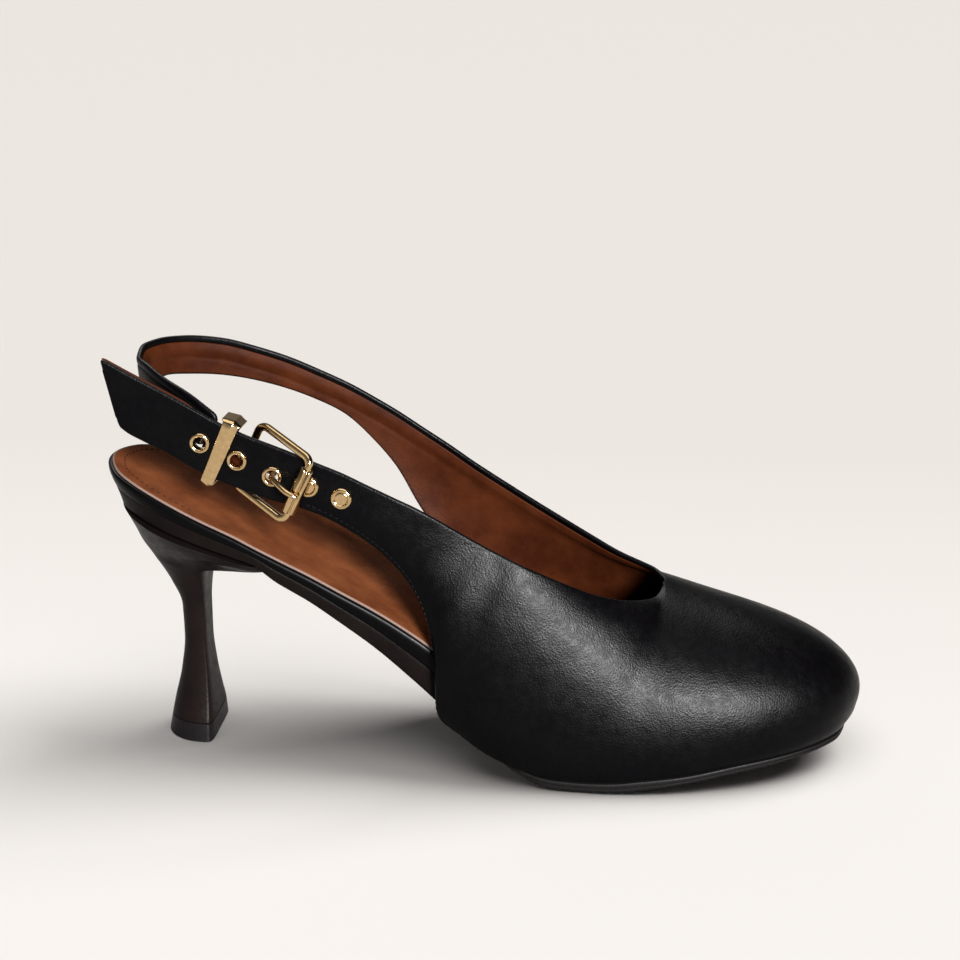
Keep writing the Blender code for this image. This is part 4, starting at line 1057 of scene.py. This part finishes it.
def stitch_row(name, path, normals, pitch, long, radius, finish, slot_name):
    """One capsule a stitch: rings along it with radius (1 - t^4)^0.5, sunk at its ends."""
    gone = np.concatenate([[0.0], np.cumsum(np.linalg.norm(np.diff(path, axis=0), axis=1))])
    at = np.arange(pitch / 2, gone[-1] - pitch / 2, pitch)

    def there(values, where):
        return np.stack([np.interp(where, gone, values[:, k]) for k in range(3)], -1)

    run = unit(there(path, at + long / 2) - there(path, at - long / 2))
    out = unit(there(normals, at))
    side = np.cross(out, run)
    out = np.cross(run, side)
    t = np.array([-1.0, -0.93, -0.72, -0.30, 0.30, 0.72, 0.93, 1.0])
    turn = full_turn(7)
    thick = radius * (1 - t ** 4) ** 0.5
    lift = radius * (0.55 - 1.1 * t ** 4)
    middle = there(path, at)[:, None] + run[:, None] * (t * long / 2)[None, :, None] \
        + out[:, None] * lift[None, :, None]
    rings = middle[:, :, None] + thick[None, :, None, None] * (
        np.cos(turn)[None, None, :, None] * side[:, None, None]
        + np.sin(turn)[None, None, :, None] * out[:, None, None])
    n, m, k = rings.shape[:3]
    one = grid_faces(m, k, closed=True)
    faces = (one[None] + (np.arange(n) * m * k)[:, None, None]).reshape(-1, 4)
    piece(name, rings.reshape(-1, 3), faces, finish, slot_name)
    print(f"  {n} stitches, {pitch / MM:.1f} mm apart")


def on_upper(rows, from_low, depth):
    """Points of the upper a set distance over its low edge, and their outward normals."""
    share = from_low / speed_at(rows, 0.02)
    here = upper_point(rows, share)
    ahead = upper_point(rows + 0.02, share) - upper_point(rows - 0.02, share)
    over = upper_point(rows, share + NUDGE) - upper_point(rows, share - NUDGE)
    normal = unit(np.cross(ahead, over))
    return here - normal * depth, normal


QUARTER_PITCH, SEAT_PITCH, SEAT_AWAY = 1.72 * MM, 2.1 * MM, 3.4 * MM
# name, first row, last row, points, side, then in mm: depth, length and radius of a stitch
QUARTER_ROWS = (
    ("near_quarter_stitches", 8.35, 16.35, 260, 1, 0.14, 1.32, 0.17, BLACK_THREAD, "black_leather"),
    ("far_quarter_stitches", 35.9, 41.3, 220, 1, 0.14, 1.32, 0.17, BLACK_THREAD, "black_leather"),
    ("far_quarter_inner_stitches", 35.9, 41.3, 220, -1, 1.60, 1.25, 0.16, BROWN_THREAD, "tan_lining"),
)
for name, first, last, count, side, deep, long, radius, finish, slot_name in QUARTER_ROWS:
    path, out = on_upper(np.linspace(first, last, count), STITCH_AWAY, deep * MM)
    stitch_row(name, path, side * out, QUARTER_PITCH, long * MM, radius * MM, finish, slot_name)

seat = insole_edge[:, 0] < 0.035 * FOOT_LENGTH
plan = (insole_edge - outward(insole_edge) * SEAT_AWAY)[seat]
path = np.column_stack([plan, height(INSOLE_TOP, plan[:, 0]) - 0.10 * MM])
up = np.tile([0.45, 0.0, 0.9], (len(path), 1))
stitch_row("insole_stitches", path, up, SEAT_PITCH, 1.5 * MM, 0.17 * MM, BROWN_THREAD, "tan_lining")

# %% [markdown]
# ## The metal
# Everything on the strap is built in the strap's own space: X along it, Y across it, Z
# out of it. Eyelets and rivets are profiles turned round Z. The buckle frame and the
# keeper are cross-sections carried round a rounded rectangle, the prong is a bent wire
# with a thinner end, and the roller is a rolled tube whose seam shows as a dark line.

# %% The strap's own space


def strap_space(row, share):
    """Origin and three axes on the buckle strap: along it, across it, out of it."""
    here = upper_point(row, share)
    run = upper_point(row + 0.2, share) - upper_point(row - 0.2, share)
    across = upper_point(row, share + 0.1) - upper_point(row, share - 0.1)
    out = unit(np.cross(run, across))
    run = unit(run)
    return here, np.stack([run, np.cross(out, run), out])


def placed(points, space):
    """Points of a strap space in the shoe's space: origin plus each number times its axis."""
    origin, axes = space
    return origin + np.asarray(points, float) @ axes


def turned_ring(profile, space, steps=48):
    """A profile of (radius, height) in mm turned round the space's own Z."""
    profile = np.asarray(profile, float) * MM
    turn = full_turn(steps)
    rings = np.stack([profile[:, :1] * np.cos(turn), profile[:, :1] * np.sin(turn),
                      profile[:, 1:] * np.ones(steps)], -1)
    return placed(rings.reshape(-1, 3), space), grid_faces(len(rings), steps, closed=True)


# radius and height over the leather's face in mm: face, outer side, shank and back flange
EYELET = (
    (1.76, 0.10), (1.78, 0.38), (1.87, 0.58), (2.04, 0.73), (2.30, 0.80), (2.56, 0.74), (2.78, 0.57),
    (2.91, 0.36), (2.96, 0.17), (2.92, 0.04), (2.55, -0.02), (1.98, -0.05), (1.94, -1.66),
    (2.45, -1.70), (2.66, -1.85), (2.55, -2.08), (2.20, -2.16), (1.86, -2.10), (1.76, -1.90), (1.76, 0.10),
)
RIVET = (
    (0.00, 0.58), (1.20, 0.58), (1.72, 0.56), (1.80, 0.50), (1.86, 0.52), (1.95, 0.70), (2.16, 0.84),
    (2.42, 0.86), (2.70, 0.76), (2.94, 0.52), (3.08, 0.26), (3.08, 0.06), (2.60, -0.02), (1.95, -0.05),
    (1.90, -1.66), (2.50, -1.70), (2.68, -1.90), (2.40, -2.12), (0.00, -2.16),
)
# node, row along the strap, share across it, profile
MARKS = (
    ("eyelet_1", 3.76, 0.50, EYELET), ("eyelet_2", 5.15, 0.50, EYELET), ("eyelet_3", 6.60, 0.45, EYELET),
    ("rivet_1", 8.10, 0.50, RIVET), ("rivet_2", 9.45, 0.53, RIVET),
)
for node, row, share, profile in MARKS:
    ring = turned_ring(profile, strap_space(row, share))
    item = piece(node + "_ring", *ring, GOLD, "polished_gold", sharp=50)
    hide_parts(node)

# %% [markdown]
# The strap needs real holes under the eyelets. Cutting a grid by hand is slow, so a
# boolean takes five short cylinders out of the leather and the lining, once, and the
# result is kept as a plain mesh. The flanges of the eyelets cover the cut.

# %% Holes through the strap
HOLE = 2.0 * MM


def pierce(item):
    """Takes a cylinder out of the piece at each mark and keeps the result as its mesh."""
    turn = full_turn(32)
    circle = np.stack([HOLE * np.cos(turn), HOLE * np.sin(turn)], -1)
    rings = np.array([np.insert(circle, 2, level, axis=1) for level in (-4 * MM, 4 * MM)])
    points, faces = [], []
    for index, (_, row, share, _) in enumerate(MARKS):
        some, quads = lofted(placed(rings, strap_space(row, share)))
        faces.append(quads + len(some) * index)
        points.append(some)
    points, quads, triangles = weld(np.concatenate(points), np.concatenate(faces))
    mesh = bpy.data.meshes.new("punch")
    mesh.from_pydata(points.tolist(), [], quads.tolist() + triangles.tolist())
    work = bmesh.new()
    work.from_mesh(mesh)
    bmesh.ops.recalc_face_normals(work, faces=work.faces)
    work.to_mesh(mesh)
    work.free()
    punch = bpy.data.objects.new("punch", mesh)
    bpy.context.scene.collection.objects.link(punch)
    cut = item.modifiers.new("holes", "BOOLEAN")
    cut.operation, cut.solver, cut.object = "DIFFERENCE", "EXACT", punch
    done = bpy.data.meshes.new_from_object(item.evaluated_get(bpy.context.evaluated_depsgraph_get()))
    item.modifiers.clear()
    item.data = done
    bpy.data.objects.remove(punch, do_unlink=True)
    print(item.name, "pierced:", len(done.polygons), "faces")


pierce(upper_leather)
pierce(upper_lining)

# %% [markdown]
# The buckle stands on a ramp over the strap: its hinge bar hangs low behind, where the
# tab of leather holds it, and its front bar with the roller lies over the strap. All its
# parts are worked out in one space, turned six degrees against the strap.

# %% Buckle frame and roller
SEAM_DEEP, SEAM_WIDE = 0.66 * MM, 0.27
FRAME_LENGTH, FRAME_HALF = 17.7 * MM, 9.9 * MM
BAR_RADIUS, ROLLER_RADIUS, PRONG_RADIUS, GAP = 1.1 * MM, 2.0 * MM, 0.9 * MM, 0.3 * MM
HINGE_DEPTH, ROLLER_LIFT = -6.0 * MM, 3.4 * MM
origin, axes = strap_space(6.54, 0.50)
cos, sin = math.cos(math.radians(-6.0)), math.sin(math.radians(-6.0))
BUCKLE = (origin, np.stack([axes[0] * cos + axes[1] * sin, axes[1] * cos - axes[0] * sin, axes[2]]))


def rounded_rectangle(half_a, half_b, radius, steps=14, side=12):
    """Closed path: four quarter rounds with straight runs between them."""
    turn = np.linspace(0, math.pi / 2, steps)
    corners = [((1, 1), 0), ((-1, 1), 1), ((-1, -1), 2), ((1, -1), 3)]
    arcs = [np.stack([sa * (half_a - radius) + radius * np.cos(turn + k * math.pi / 2),
                      sb * (half_b - radius) + radius * np.sin(turn + k * math.pi / 2)], -1)
            for (sa, sb), k in corners]
    path = []
    for arc, following in zip(arcs, arcs[1:] + arcs[:1]):
        t = np.linspace(0, 1, side + 2)[1:-1, None]
        path += [arc, arc[-1] * (1 - t) + following[0] * t]
    return np.concatenate(path)


def buckle_level(a):
    """Height of the frame over the strap: a straight ramp from the hinge to the roller."""
    return HINGE_DEPTH + (ROLLER_LIFT - HINGE_DEPTH) * (a / FRAME_LENGTH + 0.5)


def swept_loop(path, out, halves, square=0.8, sides=20):
    """Squared round section carried round a closed loop that lies in one plane.

    halves are the half sizes in the plane and out of it; square under one flattens it.
    """
    run = unit(np.roll(path, -1, 0) - np.roll(path, 1, 0))
    side = unit(np.cross(run, out))
    turn = full_turn(sides)
    c, s = squared(np.cos(turn), square), squared(np.sin(turn), square)
    rings = path[:, None] + halves[0] * c[None, :, None] * side[:, None] \
        + halves[1] * s[None, :, None] * np.asarray(out)[None, None]
    rings = np.concatenate([rings, rings[:1]])
    return placed(rings.reshape(-1, 3), BUCKLE), grid_faces(len(rings), sides, closed=True)


plan = rounded_rectangle(FRAME_LENGTH / 2, FRAME_HALF, 2.4 * MM)
path = np.column_stack([plan, buckle_level(plan[:, 0])])
ramp = unit(np.array([FRAME_LENGTH, 0.0, ROLLER_LIFT - HINGE_DEPTH]))
frame_out = np.array([-ramp[2], 0.0, ramp[0]])
bars = swept_loop(path, frame_out, (1.12 * MM, 1.02 * MM))
buckle_frame = piece("buckle_frame_bar", *bars, GOLD, "polished_gold", sharp=60)
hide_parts("buckle_frame")


def roller_surface(half, outer, inner, seam_at, sides=72):
    """Rolled tube: a radius with one narrow notch, its seam, and rounded ends."""
    turn = full_turn(sides)
    off = (turn - seam_at + math.pi) % math.tau - math.pi
    notch = SEAM_DEEP * bell(off, SEAM_WIDE)
    low, round_in = outer - 0.25 * MM, half - 0.3 * MM
    ends = ((inner, -half), (low, -half), (outer, -round_in), (outer, round_in), (low, half),
            (inner, half), (inner, -half))
    rings = []
    for radius, b in ends:
        r = radius - notch * (radius > inner)
        rings.append(np.stack([r * np.cos(turn), np.full(sides, b), r * np.sin(turn)], -1))
    rings = np.array(rings) + [FRAME_LENGTH / 2, 0.0, ROLLER_LIFT]
    return placed(rings.reshape(-1, 3), BUCKLE), grid_faces(len(rings), sides, closed=True)


rolled_tube = roller_surface(
    FRAME_HALF - 3.0 * MM, ROLLER_RADIUS, BAR_RADIUS + 0.2 * MM, math.radians(80))
roller = piece("buckle_roller_tube", *rolled_tube, GOLD, "polished_gold", sharp=50)
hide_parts("buckle_roller")

# %% [markdown]
# The prong is one bent wire: it hooks round the hinge bar, dives through the last eyelet
# from behind and comes up to lie over the roller, where it's thinner and rounded off.

# %% Prong
_, eyelet_row, eyelet_share, _ = MARKS[2]
eyelet = (upper_point(eyelet_row, eyelet_share) - BUCKLE[0]) @ BUCKLE[1].T
reach = BAR_RADIUS + GAP + PRONG_RADIUS
bend = np.radians(np.arange(-60, -271, -30))
hook = np.stack([-FRAME_LENGTH / 2 + reach * np.cos(bend), HINGE_DEPTH + reach * np.sin(bend)], -1)
crown = ROLLER_LIFT + ROLLER_RADIUS + GAP + PRONG_RADIUS
wire = np.concatenate([hook, [
    (eyelet[0] - 1.6 * MM, -3.4 * MM), (eyelet[0] - 0.4 * MM, -3.0 * MM), (eyelet[0], -2.0 * MM),
    (eyelet[0], 0.6 * MM), (eyelet[0] + 0.7 * MM, 1.8 * MM), (FRAME_LENGTH / 2 - 2.3 * MM, crown - 0.4 * MM),
    (FRAME_LENGTH / 2 - 0.4 * MM, crown - 0.05 * MM), (FRAME_LENGTH / 2 + 0.9 * MM, crown - 0.3 * MM)]])
fine = steady(wire, np.linspace(0, len(wire) - 1, 130))
path = np.column_stack([fine[:, 0], np.full(len(fine), eyelet[1]), fine[:, 1]])
gone = np.linspace(0, 1, len(path))
rounded_tip = np.sqrt(np.clip((1.003 - gone) / 0.02, 0, 1))
thick = PRONG_RADIUS * (1.0 - 0.25 * smooth((gone - 0.80) / 0.2)) * rounded_tip
points, faces = tube(path, np.maximum(thick, 0.1 * MM), 16, across=(0.0, 1.0, 0.0))
prong = piece("buckle_prong_wire", placed(points, BUCKLE), faces, GOLD, "polished_gold", sharp=60)
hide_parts("buckle_prong")

# %% [markdown]
# The keeper is a flat band with a bevelled face, bent round the strap. It's widest at its
# top corner and tapers down the front. The tab is a strip of lining leather folded round
# the hinge bar, with both ends under the strap.

# %% Keeper and tab
KEEPER = strap_space(4.48, 0.5)
KEEPER_HIGH, KEEPER_LOW, KEEPER_THICK = 0.45 * MM, -6.6 * MM, 1.15 * MM


def keeper_surface():
    """Bevelled band round a rounded rectangle: wide over the top, tapering down the front."""
    half = 10.5 * MM - 1.2 * MM
    plan = rounded_rectangle(half, (KEEPER_HIGH - KEEPER_LOW) / 2, 0.5 * MM, steps=6, side=10)
    plan[:, 1] += (KEEPER_HIGH + KEEPER_LOW) / 2
    out = outward(plan) * KEEPER_THICK
    over_top = smooth((plan[:, 0] - (half - 0.35 * MM)) / (0.3 * MM))
    front = smooth((plan[:, 1] + 0.4 * MM) / (0.6 * MM))
    wide = 3.6 * MM + front * (0.55 * MM + 0.45 * MM * plan[:, 0] / half)
    wide = wide * (1 - over_top) + 5.9 * MM * over_top
    # share of the half width, share of the thickness
    section = ((-1.00, 0.00), (-1.00, 0.50), (0.22, 1.10), (0.78, 0.52), (1.00, 0.44), (1.00, 0.00))
    s, t = np.array(section).T[:, :, None]
    rings = np.stack([s * wide / 2, plan[:, 0] + out[:, 0] * t, plan[:, 1] + out[:, 1] * t], -1)
    rings = np.moveaxis(rings, 1, 0)
    rings = np.concatenate([rings, rings[:1]])
    return placed(rings.reshape(-1, 3), KEEPER), grid_faces(len(rings), len(section), closed=True)


keeper = piece("keeper_band", *keeper_surface(), GOLD, "polished_gold", sharp=22)
bevel = keeper.modifiers.new("soft_edges", "BEVEL")
bevel.width, bevel.segments, bevel.limit_method = 0.16 * MM, 2, "ANGLE"
bevel.angle_limit = math.radians(22)
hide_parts("keeper_loop")

TAB_HALF, TAB_THICK = 4.0 * MM, 1.2 * MM
hinge = -FRAME_LENGTH / 2
reach = BAR_RADIUS + GAP + TAB_THICK / 2
bend = np.radians((100, 70, 35, 0, -35, -70, -100))
wrap = np.stack([hinge + reach * np.cos(bend), HINGE_DEPTH + reach * np.sin(bend)], -1)
line = np.concatenate([[(-21.5 * MM, -5.7 * MM), (-17.5 * MM, -5.6 * MM), (-12.5 * MM, -5.0 * MM)], wrap,
                       [(hinge - 3.5 * MM, HINGE_DEPTH - reach + 0.6 * MM)]])
line = steady(line, np.linspace(0, len(line) - 1, 90))
run = unit(np.gradient(line, axis=0))
side = np.stack([-run[:, 1], run[:, 0]], -1)
turn = full_turn(24)
across = TAB_HALF * squared(np.cos(turn), 0.22)
thick = TAB_THICK / 2 * squared(np.sin(turn), 0.5)
rings = np.stack([line[:, :1] + side[:, :1] * thick, np.ones((len(line), 1)) * across,
                  line[:, 1:] + side[:, 1:] * thick], -1)
points, faces = lofted(rings)
# the tab takes the lining's darker cognac, painted shade included
tab = piece("buckle_tab_leather", placed(points, BUCKLE), faces, LINING_PAINTED_SHADE, "tan_lining")
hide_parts("buckle_tab")

# %% [markdown]
# ## Camera, floor and light
# The camera stands where the photograph was taken from: a little towards the toe, 18
# degrees above the ground. From there it sees nothing but the floor, a wide sheet of
# pale paper. Far soft lamps light it evenly to the horizon. There are four. The front
# one is low and to the right and draws the long diffuse sheen down the side; it lights
# the shoe alone. The rear one gives the black pieces a faint edge. The side one lights
# the floor alone and throws the soft shadow under the arch and behind it. The top one
# fills all. The air is dimmer overhead and towards the toe, so black leather stays black.

# %% Camera
azimuth, elevation = math.radians(5.5), math.radians(18.0)
camera_data = bpy.data.cameras.new("camera")
# millimetres; together they give the photograph's own angle of view
camera_data.sensor_width, camera_data.lens = 36.0, 71.25
camera_data.clip_start = 0.01
camera = bpy.data.objects.new("camera", camera_data)
bpy.context.scene.collection.objects.link(camera)
camera.location = (0.13757, -0.52062, 0.25148)
camera.rotation_euler = (math.pi / 2 - elevation, 0.0, azimuth)
bpy.context.scene.camera = camera
print("camera at", tuple(round(c, 3) for c in camera.location))

# %% Floor


def paper(far, near):
    """Pale paper whose colour darkens with the distance: painted falloff of light, as on a lit studio sweep.
    """
    f = Finish("pale_paper_painted_falloff", near, 0.9)
    depth = f.add("SeparateXYZ", "Vector", f.place).outputs["Y"]
    f.clouded(depth, 0.0, 0.30, near, far)
    f.put("Specular IOR Level", 0.1)
    return f.slot


FLOOR_HALF, FLOOR_LINES = 30.0, 31
across = np.linspace(-FLOOR_HALF, FLOOR_HALF, FLOOR_LINES)
x, y = np.meshgrid(across, across, indexing="ij")
sheet = np.stack([x, y, np.zeros_like(x)], -1)
floor_mesh = bpy.data.meshes.new("floor")
faces = grid_faces(FLOOR_LINES, FLOOR_LINES)
floor_mesh.from_pydata(sheet.reshape(-1, 3).tolist(), [], faces.tolist())
floor = bpy.data.objects.new("floor", floor_mesh)
bpy.context.scene.collection.objects.link(floor)
# far colour darker than near: painted falloff of light with distance
floor_mesh.materials.append(paper((0.775, 0.742, 0.708), (0.870, 0.840, 0.812)))
print("floor:", len(floor_mesh.polygons), "faces")

# %% Lamps


def sun(name, turn, rise, width, strength, color):
    """Far soft lamp: turn is its heading from -Y towards +X, rise its height, in degrees."""
    data = bpy.data.lights.new(name, "SUN")
    data.energy, data.angle, data.color = strength, math.radians(width), color
    item = bpy.data.objects.new(name, data)
    bpy.context.scene.collection.objects.link(item)
    turn, rise = math.radians(turn), math.radians(rise)
    level = math.cos(rise)
    towards = Vector((math.sin(turn) * level, -math.cos(turn) * level, math.sin(rise)))
    item.rotation_euler = towards.to_track_quat("Z", "Y").to_euler()
    return item


def only_on(lamp, *items):
    """Keeps a lamp's light to the named objects; everything still shades it."""
    group = bpy.data.collections.new(lamp.name + "_lights")
    for item in items:
        group.objects.link(item)
    lamp.light_linking.receiver_collection = group


BLACK_PIECES = (upper_leather, footbed_rim, footbed_band, heel, tread, top_piece)
WARM = (1.0, 0.99, 0.98)
front = sun("front_softbox", 25.0, 22.0, width=16.0, strength=18.0, color=(0.99, 0.99, 1.0))
rear = sun("rear_softbox", 194.0, 60.0, width=54.0, strength=5.0, color=(1.0, 0.96, 0.94))
side = sun("side_softbox", 111.0, 54.0, width=46.0, strength=2.35, color=WARM)
sun("top_softbox", 0.0, 78.0, width=60.0, strength=1.3, color=WARM)
only_on(front, *EVERY_PIECE)
only_on(rear, *BLACK_PIECES)
only_on(side, floor)

# %% Air


def sky(low, high, strength):
    """Air that goes from pale to dark with height, and dark again towards the toe.

    The dark side stands for a black flag: polished metal needs something dark to reflect.
    """
    world = bpy.data.worlds.new("studio_air")
    bpy.context.scene.world = world
    world.use_nodes = True
    tree = world.node_tree
    place = tree.nodes.new("ShaderNodeTexCoord").outputs["Generated"]
    parts = tree.nodes.new("ShaderNodeSeparateXYZ")
    ramp = tree.nodes.new("ShaderNodeValToRGB")
    tree.links.new(place, parts.inputs["Vector"])
    tree.links.new(parts.outputs["Z"], ramp.inputs["Fac"])
    tree.links.new(ramp.outputs["Color"], tree.nodes["Background"].inputs["Color"])
    for stop, at, color in zip(ramp.color_ramp.elements, (0.10, 0.50), (low, high)):
        stop.position, stop.color = at, (*color, 1.0)
    flag = tree.nodes.new("ShaderNodeMapRange")
    tree.links.new(parts.outputs["X"], flag.inputs["Value"])
    # full strength up to 0.05 of the way towards the toe's side, and 0.12 of it from 0.45 on
    limits = {"From Min": 0.05, "From Max": 0.45, "To Min": strength, "To Max": 0.12 * strength}
    for name, number in limits.items():
        flag.inputs[name].default_value = number
    tree.links.new(flag.outputs["Result"], tree.nodes["Background"].inputs["Strength"])


sky((1.0, 0.985, 0.965), (0.26, 0.255, 0.25), 0.38)
bpy.context.scene.view_settings.view_transform = "Standard"
